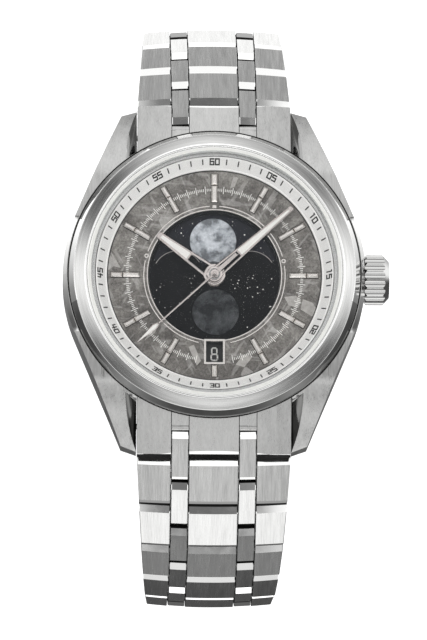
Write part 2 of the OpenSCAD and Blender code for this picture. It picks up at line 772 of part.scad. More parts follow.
module rotor() {
    weight_w = 0.17 * rotor_r;
    hub = 1.9 * post_r;
    low_z = rotor_top_z - rotor_weight_t;
    color("silver") difference() {
        union() {
            intersection() {
                translate([0, 0, rotor_low_z]) cylinder(r = rotor_r, h = rotor_thin_t, $fn = 96);
                translate([-rotor_r, 0, low_z]) cube([2 * rotor_r, rotor_r, rotor_weight_t]);
            }
            intersection() {
                translate([0, 0, low_z]) ring(rotor_r, rotor_r - weight_w, rotor_weight_t);
                translate([-rotor_r, 0, low_z]) cube([2 * rotor_r, rotor_r, rotor_weight_t]);
            }
            translate([0, 0, rotor_low_z]) cylinder(r = hub, h = rotor_thin_t, $fn = 48);
        }
        translate([0, 0, low_z - cut]) cylinder(r = post_r + run_gap, h = rotor_weight_t + 2 * cut, $fn = 48);
        for (a = [50, 90, 130]) rotate([0, 0, a]) translate([0.5 * rotor_r, 0, low_z - cut])
            cylinder(r = 0.14 * rotor_r, h = rotor_weight_t + 2 * cut, $fn = 48);
    }
}

module movement_ring() {
    in_r = movement_d / 2 + movement_seat;
    rim_in_r = dial_d / 2 - 4 * face_gap;
    out_r = chamber_r - face_gap / 2;
    color("lightsteelblue") difference() {
        rotate_extrude($fn = 96) polygon([[in_r, plate_low_z], [out_r, plate_low_z],
            [out_r, dial_low_z], [rim_in_r, dial_low_z], [rim_in_r, plate_top_z], [in_r, plate_top_z]]);
        translate([0, 0, crown_z]) rod_x(stem_d / 2 + face_gap, 0, case_w);
    }
}

// Case back
module case_back() {
    view_r = back_view_d / 2;
    glass_r = back_crystal_d / 2;
    skirt_r = chamber_r - skirt_gap;
    skirt_t = 2 * face_gap;
    skirt_z = case_floor_z + 3 * face_gap;
    color(pale_steel) difference() {
        rotate_extrude($fn = 128) polygon([[view_r, 0], [back_d / 2 - gasket_t, 0],
            [back_d / 2, gasket_t], [back_d / 2, case_floor_z], [skirt_r, case_floor_z],
            [skirt_r, skirt_z], [skirt_r - skirt_t, skirt_z], [skirt_r - skirt_t, case_floor_z],
            [glass_r, case_floor_z], [glass_r, back_lip], [view_r, back_lip]]);
        for (i = [0:back_screws - 1]) rotate([0, 0, (i + 0.5) * 360 / back_screws])
            translate([back_screw_r, 0, 0]) {
                translate([0, 0, -cut]) cylinder(r = screw_r, h = case_floor_z + 2 * cut, $fn = 24);
                translate([0, 0, -cut]) cylinder(r = screw_head_r, h = screw_head_t + cut, $fn = 24);
            }
    }
}

module back_crystal() {
    // Stepped glass, held from inside and level with the case back's outer face
    color("lightcyan", 0.3) union() {
        cylinder(r = back_view_d / 2, h = back_lip, $fn = 96);
        translate([0, 0, back_lip]) cylinder(r = back_crystal_d / 2, h = back_crystal_t, $fn = 96);
    }
}

module back_gasket() {
    color("black") translate([0, 0, case_floor_z]) ring(gasket_out_r, gasket_in_r, gasket_t);
}

module back_screws_set() {
    slot = 0.35 * screw_head_r;
    color(steel) for (i = [0:back_screws - 1]) rotate([0, 0, (i + 0.5) * 360 / back_screws])
        translate([back_screw_r, 0, 0]) difference() {
            union() {
                translate([0, 0, slot / 2]) cylinder(r = screw_head_r, h = screw_head_t - slot / 2, $fn = 24);
                translate([0, 0, slot / 2]) cylinder(r = screw_r, h = screw_top_z - slot / 2, $fn = 24);
            }
            translate([-screw_head_r, -slot / 2, 0]) cube([2 * screw_head_r, slot, 1.5 * slot]);
        }
}

// Crown and stem
module crown_tube() {
    color(steel) translate([0, 0, crown_z]) difference() {
        rod_x(tube_d / 2, chamber_r + face_gap / 2, crown_seat_x + tube_out_l);
        rod_x(tube_bore_r, 0, case_w);
    }
}

module crown() {
    r = crown_d / 2;
    groove_r = 0.085 * crown_d;
    color(steel) translate([crown_x, 0, crown_z]) difference() {
        rotate([0, 90, 0]) difference() {
            rotate_extrude($fn = 96) polygon([[0, 0], [r - groove_r / 2, 0], [r, groove_r / 2],
                [r, crown_l - crown_cap], [0.72 * r, crown_l], [0, crown_l]]);
            for (i = [0:crown_flutes - 1]) rotate([0, 0, i * 360 / crown_flutes])
                translate([r + 0.45 * groove_r, 0, -cut]) cylinder(r = groove_r, h = crown_l + 2 * cut,
                    $fn = 24);
        }
        rod_x(crown_well_r, -cut, crown_well_l);
        rod_x(stem_d / 2, 0, crown_well_l + 0.6 * crown_cap);
    }
}

module winding_stem() {
    color(steel) translate([0, 0, crown_z])
        rod_x(stem_d / 2, stem_in_x, crown_x + crown_well_l + 0.6 * crown_cap);
}

module crown_gasket() {
    color("black") translate([crown_x + crown_well_l - 0.75 * crown_well_l, 0, crown_z]) difference() {
        rod_x(crown_well_r - run_gap, 0, 0.35 * crown_well_l);
        rod_x(tube_d / 2 + run_gap, -cut, crown_l);
    }
}

// Bracelet pieces, drawn in the frame of their own row
function arc_down(centre_y, sign) = [for (i = [0:8]) let (a = i * asin(half_t / (wrap_r * 1.02)) / 8)
    [centre_y + sign * wrap_r * cos(a), -wrap_r * sin(a)]];
function arc_end(centre_y, sign) = concat(arc_down(centre_y, sign),
    [[centre_y + sign * wrap_r * cos(asin(half_t / (wrap_r * 1.02))) * 0.97, -half_t]]);

function wide_profile() = let (rear = rear_y + link_relief)
    concat([[rear, -half_t + bevel_depth], [rear, half_t - start_depth],
    [rear + bevel_start, half_t], [pitch + wrap_r - bevel_end, half_t],
    [pitch + wrap_r, half_t - bevel_depth]], arc_end(pitch, 1), [[rear + bevel_depth, -half_t]]);

function narrow_profile() = let (front = pitch / 2 + wrap_r)
    concat([[front, -half_t + bevel_depth], [front, half_t - bevel_depth],
    [front - bevel_end, half_t], [-wrap_r + bevel_start, half_t], [-wrap_r, half_t - start_depth]],
    arc_end(0, -1), [[front - bevel_depth, -half_t]]);

module slab(profile, x0, x1) {
    // A side view, heights over length, given a width along X
    translate([x0, 0, 0]) rotate([90, 0, 90]) linear_extrude(x1 - x0) polygon(profile);
}

module crowned(reach) {
    // Rounds the outer face gently across the bracelet
    intersection() {
        children();
        translate([0, -reach, half_t - crown_round_r]) rotate([-90, 0, 0])
            cylinder(r = crown_round_r, h = 3 * reach, $fn = 360);
    }
}

module outer_cut(w0, w1) {
    // Plan of an outer column: its outside edge tapers from w0 to w1
    rotate([0, 0, 0]) linear_extrude(4 * half_t, center = true) polygon([[outer_x, -pitch],
        [outer_x + w0, -pitch], [outer_x + w0, rear_y], [outer_x + w1, pitch + wrap_r],
        [outer_x + w1, 2 * pitch], [outer_x, 2 * pitch]]);
}

function outer_width(k) = k >= taper_rows ? outer_end_w
    : outer_w0 + (outer_end_w - outer_w0) * k / taper_rows;

module pin_hole(reach) {
    rod_x(pin_r + press_gap, -reach - press_gap, reach + press_gap);
}

module link_row(k) {
    w0 = outer_width(k - 1);
    w1 = outer_width(k);
    pin_x0 = outer_x + 0.6 * w1;
    color(steel) union() {
        difference() {
            crowned(pitch) union() {
                slab(wide_profile(), -centre_w / 2, centre_w / 2);
                both_x() intersection() {
                    slab(wide_profile(), outer_x, outer_x + w0);
                    outer_cut(w0, w1);
                }
                both_x() slab(narrow_profile(), narrow_x, narrow_x + narrow_w);
            }
            translate([0, pitch, 0]) pin_hole(pin_x0);
            translate([0, pin_pitch, 0]) pin_hole(pin_x0);
            rod_x(pin_r + run_gap, -bracelet_w / 2, bracelet_w / 2);
        }
        translate([0, pitch, 0]) rod_x(pin_r, -pin_x0, pin_x0);
        translate([0, pin_pitch, 0]) rod_x(pin_r, -pin_x0, pin_x0);
    }
}

module place_row(turns, k) {
    // Puts a row's frame at the pin it hangs from
    p = row_pin(turns, k - 1);
    translate([0, p[0], p[1]]) rotate([-row_angle(turns, k), 0, 0]) children();
}

module row_12(k) { place_row(turns_12, k) link_row(k); }
module row_6(k) { mirror([0, 1, 0]) place_row(turns_6, k) link_row(k); }

// End links
function end_profile() = let (front = wrap_r)
    concat([[front - bevel_end, half_t], [front, half_t - bevel_depth]], arc_end(0, 1));

module end_link() {
    // The fingers in the frame of the first pin, the body in the frame of the case
    link_wall = barrel_r + column_gap;
    body_low_z = spring_bar_z - 1.6 * spring_bar_r;
    pin_x0 = outer_x + 0.6 * outer_w0;
    top = [for (p = end_profile()) [first_pin_y + p[0] * cos(end_slope) + p[1] * sin(end_slope),
        first_pin_z - p[0] * sin(end_slope) + p[1] * cos(end_slope)]];
    inner_top_z = flange_low_z - column_gap;
    heel_y = flange_r * 0.86;
    color(steel) union() {
        difference() {
            crown_drop() linear_x(bracelet_w) polygon(concat([[0, body_low_z], [0, inner_top_z],
                [heel_y, inner_top_z]], top, [[spring_bar_y + 1.6 * spring_bar_r, body_low_z]]));
            translate([0, 0, -cut]) cylinder(r = link_wall, h = case_top_z + 2 * cut, $fn = 128);
            both_x() translate([narrow_x - column_gap, first_pin_y - wrap_r - row_gap, -cut])
                cube([narrow_w + 2 * column_gap, lug_span, case_top_z + 2 * cut]);
            translate([0, spring_bar_y, spring_bar_z]) rod_x(spring_bar_r + run_gap, -lug_gap, lug_gap);
            translate([0, first_pin_y, first_pin_z]) pin_hole(pin_x0);
        }
        translate([0, first_pin_y, first_pin_z]) rod_x(pin_r, -pin_x0, pin_x0);
    }
}

module linear_x(w) {
    translate([-w / 2, 0, 0]) rotate([90, 0, 90]) linear_extrude(w) children();
}

module crown_drop() {
    // The end link's outer face follows the first row's crowned face
    intersection() {
        children();
        translate([0, first_pin_y, first_pin_z]) rotate([-end_slope, 0, 0])
            translate([0, -lug_span, half_t - crown_round_r]) rotate([-90, 0, 0])
                cylinder(r = crown_round_r, h = 2 * lug_span, $fn = 360);
    }
}

module end_link_12() { end_link(); }
module end_link_6() { mirror([0, 1, 0]) end_link(); }

module spring_bars() {
    half_l = lug_gap / 2 - column_gap;
    color("dimgray") for (s = [-1, 1]) translate([0, s * spring_bar_y, spring_bar_z]) union() {
        rod_x(spring_bar_r, -half_l, half_l);
        rod_x(spring_tip_r, -lug_gap / 2 - spring_tip_l, lug_gap / 2 + spring_tip_l);
    }
}

// Clasp, drawn in the frame of the last pin on the twelve side
module place_clasp() {
    translate([0, last_12[0], last_12[1]]) rotate([-clasp_angle, 0, 0]) children();
}

module clasp_cover() {
    wall_x = clasp_w / 2 - clasp_t;
    plate_z = half_t - clasp_t;
    pin_x0 = wall_x + clasp_t / 2;
    color(steel) place_clasp() union() {
        difference() {
            crowned(clasp_reach) union() {
                slab([[rear_y, plate_z], [rear_y, half_t - bevel_depth], [rear_y + bevel_start, half_t],
                    [clasp_end_y - bevel_end, half_t], [clasp_end_y, half_t - bevel_depth],
                    [clasp_end_y, plate_z]], -clasp_w / 2, clasp_w / 2);
                both_x() slab([[rear_y, -half_t], [rear_y, plate_z], [clasp_end_y, plate_z],
                    [clasp_end_y, -clasp_wall_h + bevel_end], [clasp_end_y - bevel_end, -clasp_wall_h],
                    [rear_y + 3.2 * clasp_t, -clasp_wall_h]], wall_x, clasp_w / 2);
                // Cross wall that carries the two fingers of the first pin
                slab([[rear_y, -half_t], [rear_y, plate_z], [rear_y + clasp_t, plate_z],
                    [rear_y + clasp_t, -half_t]], -clasp_w / 2, clasp_w / 2);
                both_x() slab(concat([
                    [rear_y + clasp_t / 2, -half_t],
                    [rear_y + clasp_t / 2, half_t - bevel_depth],
                    [-wrap_r + bevel_start, half_t],
                    [-wrap_r, half_t - bevel_depth]], arc_end(0, -1)),
                    narrow_x, narrow_x + narrow_w);
            }
            rod_x(pin_r + run_gap, -clasp_w, clasp_w);
            translate([0, hinge_b_y, hinge_b_z])
                rod_x(hinge_pin_r + press_gap, -pin_x0 - press_gap, pin_x0 + press_gap);
            translate([0, button_y, button_z]) rod_x(button_r + run_gap, -clasp_w, clasp_w);
        }
        translate([0, hinge_b_y, hinge_b_z]) rod_x(hinge_pin_r, -pin_x0, pin_x0);
    }
}

module clasp_blade_outer() {
    // Runs back from the hinge at the cover's far end, and forks round the second hinge
    ear_w = 2 * blade_t;
    color("gainsboro") place_clasp() union() {
        difference() {
            union() {
                slab([
                    [hinge_a_y - knuckle_r, hinge_b_z - blade_t / 2],
                    [hinge_a_y - knuckle_r, hinge_b_z + blade_t / 2],
                    [hinge_b_y, hinge_b_z + blade_t / 2],
                    [hinge_b_y, hinge_b_z - blade_t / 2]],
                    -blade_w / 2, blade_w / 2);
                translate([0, hinge_b_y, hinge_b_z]) rod_x(knuckle_r, -blade_w / 2, blade_w / 2);
                both_x() slab([
                    [hinge_a_y - knuckle_r, hinge_a_z - knuckle_r],
                    [hinge_a_y - knuckle_r, hinge_b_z],
                    [hinge_a_y + knuckle_r, hinge_b_z],
                    [hinge_a_y + knuckle_r, hinge_a_z - knuckle_r]],
                    blade_w / 2 - ear_w, blade_w / 2);
            }
            translate([0, hinge_b_y, hinge_b_z]) rod_x(hinge_pin_r + run_gap, -clasp_w, clasp_w);
            translate([0, hinge_a_y, hinge_a_z]) rod_x(hinge_pin_r + press_gap, -blade_w, blade_w);
        }
        translate([0, hinge_a_y, hinge_a_z])
            rod_x(hinge_pin_r, -blade_w / 2 + run_gap, blade_w / 2 - run_gap);
    }
}

module clasp_blade_inner() {
    ear_w = 2 * blade_t;
    inner_w = blade_w - 2 * ear_w - 2 * column_gap;
    color("gainsboro") place_clasp() difference() {
        union() {
            slab([[hinge_a_y, hinge_a_z - blade_t / 2], [hinge_a_y, hinge_a_z + blade_t / 2],
                [blade_end_y, hinge_a_z + blade_t / 2], [blade_end_y, hinge_a_z - blade_t / 2]],
                -inner_w / 2, inner_w / 2);
            translate([0, hinge_a_y, hinge_a_z]) rod_x(knuckle_r * 0.95, -inner_w / 2, inner_w / 2);
        }
        translate([0, hinge_a_y, hinge_a_z]) rod_x(hinge_pin_r + run_gap, -clasp_w, clasp_w);
    }
}

module button() {
    wall_x = clasp_w / 2 - clasp_t;
    collar = 0.3 * button_r;
    color(steel) place_clasp() translate([0, button_y, button_z]) union() {
        rod_x(button_r, wall_x - collar, clasp_w / 2 + button_travel + 2 * run_gap);
        rod_x(button_r + collar, wall_x - collar - run_gap, wall_x - run_gap);
    }
}

module button_right() { button(); }
module button_left() { mirror([1, 0, 0]) button(); }

mid_case();
bezel();
crystal();
crystal_gasket();
minute_ring();
dial_plate();
hour_markers();
date_frame();
smoked_disc();
movement_ring();
main_plate();
train_bridge();
balance_cock();
bridge_screws();
case_back();
back_crystal();
back_gasket();
back_screws_set();
crown_tube();
spring_bars();
end_link_12();
end_link_6();
hour_hand();
hour_wheel();
minute_hand();
cannon_pinion();
seconds_hand();
date_disc();
moon_disc();
rotor();
balance_wheel();
crown_gasket();
crown();
winding_stem();
row_12(1);  // row_12_1
row_12(2);  // row_12_2
row_12(3);  // row_12_3
row_12(4);  // row_12_4
row_12(5);  // row_12_5
row_12(6);  // row_12_6
row_12(7);  // row_12_7
row_12(8);  // row_12_8
row_6(1);  // row_6_1
row_6(2);  // row_6_2
row_6(3);  // row_6_3
row_6(4);  // row_6_4
row_6(5);  // row_6_5
row_6(6);  // row_6_6
row_6(7);  // row_6_7
row_6(8);  // row_6_8
row_6(9);  // row_6_9
clasp_cover();
clasp_blade_outer();
clasp_blade_inner();
button_left();
button_right();
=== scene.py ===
"""Looks of a steel moon phase wristwatch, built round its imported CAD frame."""

import json
import logging
import math
import random
from dataclasses import dataclass, field
from enum import Enum
from typing import Callable, Iterable, Sequence

import bmesh
import bpy
from mathutils import Matrix, Vector


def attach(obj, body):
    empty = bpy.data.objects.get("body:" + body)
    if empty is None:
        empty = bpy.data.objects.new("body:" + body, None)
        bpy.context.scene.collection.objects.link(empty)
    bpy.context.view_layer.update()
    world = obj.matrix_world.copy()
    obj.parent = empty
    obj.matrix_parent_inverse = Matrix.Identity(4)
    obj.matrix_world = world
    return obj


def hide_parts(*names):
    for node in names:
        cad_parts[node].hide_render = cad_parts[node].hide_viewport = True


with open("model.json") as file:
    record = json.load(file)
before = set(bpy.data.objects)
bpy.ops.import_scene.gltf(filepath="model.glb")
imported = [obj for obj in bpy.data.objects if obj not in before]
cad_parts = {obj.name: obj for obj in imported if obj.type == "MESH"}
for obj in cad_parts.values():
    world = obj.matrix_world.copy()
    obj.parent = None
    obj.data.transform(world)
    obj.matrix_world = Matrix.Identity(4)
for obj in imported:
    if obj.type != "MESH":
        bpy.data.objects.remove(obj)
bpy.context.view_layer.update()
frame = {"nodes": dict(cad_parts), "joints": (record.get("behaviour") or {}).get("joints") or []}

# Lengths are in millimetres until a piece is finished, and angles in degrees
MM = 0.001
MERGE_MM = 1e-4
SEAM_MM = 1e-5
AXIS_MM = 1e-6
FLAT_DEG = 1.0
SHARP_RAD = 0.35
FULL_TURN = 360
HOUR_DEG = 30
MINUTE_DEG = 6

# Where most of a noise's values lie
NOISE_SPAN = {"From Min": 0.3, "From Max": 0.7}

# Sockets of a Mix node that mixes colours, whose names its other sockets share
COLOUR_A = 6
COLOUR_B = 7
COLOUR_OUT = 2

LOG = logging.getLogger("watch")
Point = tuple[float, float]
Ring = tuple[float, float, float, float]
Rgba = tuple[float, float, float, float]
Mesh = bmesh.types.BMesh
Face = bmesh.types.BMFace
Edge = bmesh.types.BMEdge
Material = bpy.types.Material
Node = bpy.types.Node
Socket = bpy.types.NodeSocket
Tree = bpy.types.NodeTree


class Side(Enum):
    """The two halves of the bracelet, by the hour that they start from."""

    TWELVE = "12"
    SIX = "6"


class Body(str, Enum):
    """The CAD bodies that new pieces ride on."""

    CASE = "case"
    HOUR = "hour_display"
    MINUTE = "minute_display"
    SECONDS = "seconds_display"
    DATE = "date_display"
    MOON = "moon_display"


class Grain(Enum):
    """Which way the lines of a brushed finish run."""

    UV = "along the piece's own grain map"
    ROUND = "round the dial's axis"
    Y = "towards twelve o'clock"


# Colour and shader helpers


def linear(hex_code: str) -> Rgba:
    """Turn an sRGB hex colour into linear values.

    Args:
        hex_code: Six hex digits, such as "b0aaa8".

    Returns:
        Linear red, green, blue and an alpha of one.
    """
    parts = [int(hex_code[i : i + 2], 16) / 255 for i in (0, 2, 4)]
    light = [c / 12.92 if c <= 0.04045 else ((c + 0.055) / 1.055) ** 2.4 for c in parts]
    return (*light, 1.0)


def toned(hex_code: str, share: float) -> Rgba:
    """A hex colour in linear values, darkened or lightened to a share of itself."""
    return (*(min(1.0, c * share) for c in linear(hex_code)[:3]), 1.0)


def feed(tree: Tree, node: Node, values: dict) -> None:
    """Give a node's inputs their values or links.

    Args:
        tree: The node tree.
        node: The node that takes them.
        values: Input names or indices, each with a value or with a socket to link from.
    """
    for key, value in values.items():
        if isinstance(value, Socket):
            tree.links.new(value, node.inputs[key])
        else:
            node.inputs[key].default_value = value


def add_node(
    tree: Tree,
    kind: str,
    values: dict | None = None,
    stops: Sequence[tuple[float, Rgba]] = (),
    **settings: object,
) -> Node:
    """Add one shader node with its settings, values, links and colour stops.

    Args:
        tree: The node tree that takes the node.
        kind: The node's type name, after "ShaderNode".
        values: Input names or indices, each with a value or with a socket to link from.
        stops: Places and colours of a colour ramp, in order.
        settings: Attributes of the node itself.

    Returns:
        The new node.
    """
    node = tree.nodes.new(f"ShaderNode{kind}")
    for name, value in settings.items():
        setattr(node, name, value)
    feed(tree, node, values or {})
    if stops:
        marks = node.color_ramp.elements
        while len(marks) < len(stops):
            marks.new(0.5)
        for mark, (place, colour) in zip(marks, stops):
            mark.position = place
            mark.color = colour
    return node


def new_material(name: str) -> tuple[Material, Tree, Node]:
    """Make a node material with a Principled shader on its output.

    Args:
        name: The material's name.

    Returns:
        The material, its node tree and the shader.
    """
    material = bpy.data.materials.new(name)
    material.use_nodes = True
    tree = material.node_tree
    tree.nodes.clear()
    shader = add_node(tree, "BsdfPrincipled")
    add_node(tree, "OutputMaterial", {"Surface": shader.outputs[0]})
    return material, tree, shader


def object_mm(tree: Tree) -> Socket:
    """Object coordinates in millimetres.

    Args:
        tree: The node tree.

    Returns:
        The socket with the coordinates.
    """
    coords = add_node(tree, "TexCoord")
    scaling = {0: coords.outputs["Object"], "Scale": 1 / MM}
    return add_node(tree, "VectorMath", scaling, operation="SCALE").outputs[0]


def light_level(tree: Tree, factor: Socket, stops: Sequence[Point], gain: float) -> Socket:
    """Look up a level of light, which may pass 1.

    Args:
        tree: The node tree.
        factor: What picks the level, from 0 to 1.
        stops: Places and levels.
        gain: The greatest level that can be held.

    Returns:
        The socket with the level.
    """
    greys = [(place, (level / gain,) * 3 + (1.0,)) for place, level in stops]
    looked_up = add_node(tree, "ValToRGB", {"Fac": factor}, greys)
    scaled = add_node(tree, "VectorMath", {0: looked_up.outputs["Color"], "Scale": gain}, operation="SCALE")
    return scaled.outputs[0]


@dataclass(frozen=True)
class BrushedSteel:
    """Fine parallel scratches on steel, which spread each reflection into a soft satin band.

    Real scratches are under 0.05 mm apart, too fine to show, so they are drawn about three times as coarse.
    """

    name: str
    colour: str = "c9c9c8"
    roughness: float = 0.34
    grain: Grain = Grain.Y
    spacing_mm: float = 0.16
    run_share: float = 0.06
    streak_share: float = 0.21
    streak_mix: float = 0.45
    dark_share: float = 0.45
    light_share: float = 1.55
    depth: float = 0.25
    depth_mm: float = 0.02
    smooth_share: float = 0.8
    rough_share: float = 1.2
    round_spread: float = 5.0

    def build(self) -> Material:
        """Make the material.

        Returns:
            A steel whose tone, roughness and height vary along stretched scratches.
        """
        material, tree, shader = new_material(self.name)
        lines = self._lines(tree)
        fine = add_node(tree, "TexNoise", {"Vector": lines, "Scale": 1.0, "Detail": 3.0, "Roughness": 0.6})
        broad = add_node(tree, "VectorMath", {0: lines, 1: (self.streak_share,) * 3}, operation="MULTIPLY")
        streak = add_node(tree, "TexNoise", {"Vector": broad.outputs[0], "Scale": 1.0, "Detail": 2.0})
        mix = {"Factor": self.streak_mix, "A": fine.outputs["Fac"], "B": streak.outputs["Fac"]}
        scratch = add_node(tree, "Mix", mix).outputs[0]
        dark, light = toned(self.colour, self.dark_share), toned(self.colour, self.light_share)
        tone = add_node(tree, "Mix", {"Factor": scratch, COLOUR_A: dark, COLOUR_B: light}, data_type="RGBA")
        ends = {"To Min": self.roughness * self.smooth_share, "To Max": self.roughness * self.rough_share}
        rough = add_node(tree, "MapRange", {"Value": scratch, **NOISE_SPAN, **ends})
        height = {"Strength": self.depth, "Distance": self.depth_mm * MM, "Height": scratch}
        bump = add_node(tree, "Bump", height)
        feed(tree, shader, {"Base Color": tone.outputs[COLOUR_OUT], "Metallic": 1.0})
        feed(tree, shader, {"Roughness": rough.outputs[0], "Normal": bump.outputs[0]})
        return material

    def _lines(self, tree: Tree) -> Socket:
        """Coordinates that are dense across the scratches and long along them.

        Args:
            tree: The material's node tree.

        Returns:
            The socket with the coordinates.
        """
        dense, long = 1 / self.spacing_mm, self.run_share / self.spacing_mm
        if self.grain is Grain.UV:
            source = add_node(tree, "UVMap", uv_map="grain").outputs[0]
            scale = (dense, long, 1.0)
        elif self.grain is Grain.ROUND:
            place = object_mm(tree)
            parts = add_node(tree, "SeparateXYZ", {0: place})
            flat = add_node(tree, "CombineXYZ", {0: parts.outputs[0], 1: parts.outputs[1]})
            radius = add_node(tree, "VectorMath", {0: flat.outputs[0]}, operation="LENGTH")
            heading = add_node(tree, "VectorMath", {0: place}, operation="NORMALIZE")
            spread = (self.round_spread, self.round_spread, 0.0)
            turn = add_node(tree, "VectorMath", {0: heading.outputs[0], 1: spread}, operation="MULTIPLY")
            offset = add_node(tree, "CombineXYZ", {2: radius.outputs["Value"]})
            both = {0: turn.outputs[0], 1: offset.outputs[0]}
            source = add_node(tree, "VectorMath", both, operation="ADD").outputs[0]
            scale = (1.0, 1.0, dense)
        else:
            source = object_mm(tree)
            scale = (dense, long, dense)
        return add_node(tree, "VectorMath", {0: source, 1: scale}, operation="MULTIPLY").outputs[0]


@dataclass(frozen=True)
class PolishedSteel:
    """Lapped metal, which mirrors the studio with only a breath of haze."""

    name: str
    colour: str = "f0f0ef"
    roughness: float = 0.08
    haze_per_mm: float = 0.7
    smooth_share: float = 0.6
    rough_share: float = 1.5

    def build(self) -> Material:
        """Make the mirror metal.

        Returns:
            A metal whose roughness varies a little, as from handling.
        """
        material, tree, shader = new_material(self.name)
        breath = {"Vector": object_mm(tree), "Scale": self.haze_per_mm, "Detail": 4.0}
        haze = add_node(tree, "TexNoise", breath)
        ends = {"To Min": self.roughness * self.smooth_share, "To Max": self.roughness * self.rough_share}
        rough = add_node(tree, "MapRange", {"Value": haze.outputs["Fac"], **NOISE_SPAN, **ends})
        feed(tree, shader, {"Base Color": linear(self.colour), "Metallic": 1.0})
        feed(tree, shader, {"Roughness": rough.outputs[0]})
        return material


@dataclass(frozen=True)
class Meteorite:
    """Etched iron meteorite: grey-brown, crossed by long paler crystals and a few bright patches."""

    name: str = "meteorite_dial"
    cloud_per_mm: float = 0.3
    grit_per_mm: float = 3.4
    patch_per_mm: float = 0.6
    crystal_mm: float = 0.9
    crystal_runs: tuple[Point, ...] = ((28, 0.22), (-34, 0.2), (82, 0.25))
    crystal_shift: tuple[float, float] = (3.1, 7.7)
    crystal_show: float = 0.26
    patch_show: float = 0.35
    etch_strength: float = 0.35
    etch_mm: float = 0.04
    metallic: float = 0.35
    roughness: float = 0.5

    def build(self) -> Material:
        """Make the etched dial.

        Returns:
            A satin metal with crossing lamellae, patches and fine mottling.
        """
        material, tree, shader = new_material(self.name)
        place = object_mm(tree)
        clouds = {"Vector": place, "Scale": self.cloud_per_mm, "Detail": 7.0, "Roughness": 0.66}
        cloud = add_node(tree, "TexNoise", clouds)
        browns = [(0.34, linear("5a5653")), (0.5, linear("7b7773")), (0.66, linear("9a9792"))]
        base = add_node(tree, "ValToRGB", {"Fac": cloud.outputs["Fac"]}, browns)
        grains = {"Vector": place, "Scale": self.grit_per_mm, "Detail": 6.0, "Roughness": 0.75}
        grit = add_node(tree, "TexNoise", grains)
        specks = [(0.36, linear("8f8d8a")), (0.62, linear("ffffff"))]
        speck = add_node(tree, "ValToRGB", {"Fac": grit.outputs["Fac"]}, specks)
        etched = {"Factor": 0.75, COLOUR_A: base.outputs["Color"], COLOUR_B: speck.outputs["Color"]}
        tone = add_node(tree, "Mix", etched, data_type="RGBA", blend_type="MULTIPLY").outputs[COLOUR_OUT]
        for index, (turn, reach) in enumerate(self.crystal_runs):
            laid = {
                "Vector": place,
                "Location": (self.crystal_shift[0] * index, self.crystal_shift[1], 0),
                "Rotation": (0, 0, math.radians(turn)),
                "Scale": (self.crystal_mm, 1 / reach, 1),
            }
            spun = add_node(tree, "Mapping", laid, vector_type="TEXTURE")
            long = add_node(tree, "TexNoise", {"Vector": spun.outputs[0], "Scale": 1.0, "Detail": 2.0})
            edge = {"From Min": 0.62, "From Max": 0.68, "To Min": 0.0, "To Max": self.crystal_show}
            mask = add_node(tree, "MapRange", {"Value": long.outputs["Fac"], **edge}).outputs[0]
            pale = {"Factor": mask, COLOUR_A: tone, COLOUR_B: linear("c6c4c1")}
            tone = add_node(tree, "Mix", pale, data_type="RGBA").outputs[COLOUR_OUT]
        cells = add_node(tree, "TexVoronoi", {"Vector": place, "Scale": self.patch_per_mm, "Randomness": 1.0})
        picked = add_node(tree, "SeparateColor", {0: cells.outputs["Color"]})
        edge = {"From Min": 0.985, "From Max": 0.99, "To Min": 0.0, "To Max": self.patch_show}
        patch = add_node(tree, "MapRange", {"Value": picked.outputs[0], **edge}).outputs[0]
        bright = {"Factor": patch, COLOUR_A: tone, COLOUR_B: linear("cfcdca")}
        tone = add_node(tree, "Mix", bright, data_type="RGBA").outputs[COLOUR_OUT]
        etch = {"Strength": self.etch_strength, "Distance": self.etch_mm * MM, "Height": grit.outputs["Fac"]}
        bump = add_node(tree, "Bump", etch)
        feed(tree, shader, {"Base Color": tone, "Normal": bump.outputs[0]})
        feed(tree, shader, {"Metallic": self.metallic, "Roughness": self.roughness})
        return material


@dataclass(frozen=True)
class PlainFinish:
    """A coated, printed or moulded surface with a slight mottling."""

    name: str
    colour: str
    roughness: float = 0.5
    metallic: float = 0.0
    mottle: float = 0.08
    mottle_mm: float = 0.4
    alpha: float = 1.0
    specular: float = 0.5

    def build(self) -> Material:
        """Make the surface.

        Returns:
            A finish whose tone varies a little over its grain.
        """
        material, tree, shader = new_material(self.name)
        mottling = {"Vector": object_mm(tree), "Scale": 1 / self.mottle_mm, "Detail": 3.0}
        grain = add_node(tree, "TexNoise", mottling)
        low, high = toned(self.colour, 1 - self.mottle), toned(self.colour, 1 + self.mottle)
        mix = {"Factor": grain.outputs["Fac"], COLOUR_A: low, COLOUR_B: high}
        tone = add_node(tree, "Mix", mix, data_type="RGBA")
        feed(tree, shader, {"Base Color": tone.outputs[COLOUR_OUT], "Roughness": self.roughness})
        feed(tree, shader, {"Metallic": self.metallic, "Alpha": self.alpha})
        feed(tree, shader, {"Specular IOR Level": self.specular})
        return material


@dataclass(frozen=True)
class CoatedSapphire:
    """Sapphire with an anti-glare coating: all but invisible face on, with a pale edge."""

    name: str
    alpha: float = 0.012
    rim_alpha: float = 0.35
    roughness: float = 0.02

    def build(self) -> Material:
        """Make the clear crystal.

        Returns:
            A clear finish that covers more where it is seen edge on.
        """
        material, tree, shader = new_material(self.name)
        facing = add_node(tree, "LayerWeight", {"Blend": 0.25})
        limits = {"From Min": 0.0, "From Max": 1.0, "To Min": self.alpha, "To Max": self.rim_alpha}
        cover = add_node(tree, "MapRange", {"Value": facing.outputs["Facing"], **limits})
        feed(tree, shader, {"Alpha": cover.outputs[0], "Base Color": linear("c9d0d2")})
        feed(tree, shader, {"Roughness": self.roughness, "Specular IOR Level": 0.25})
        return material


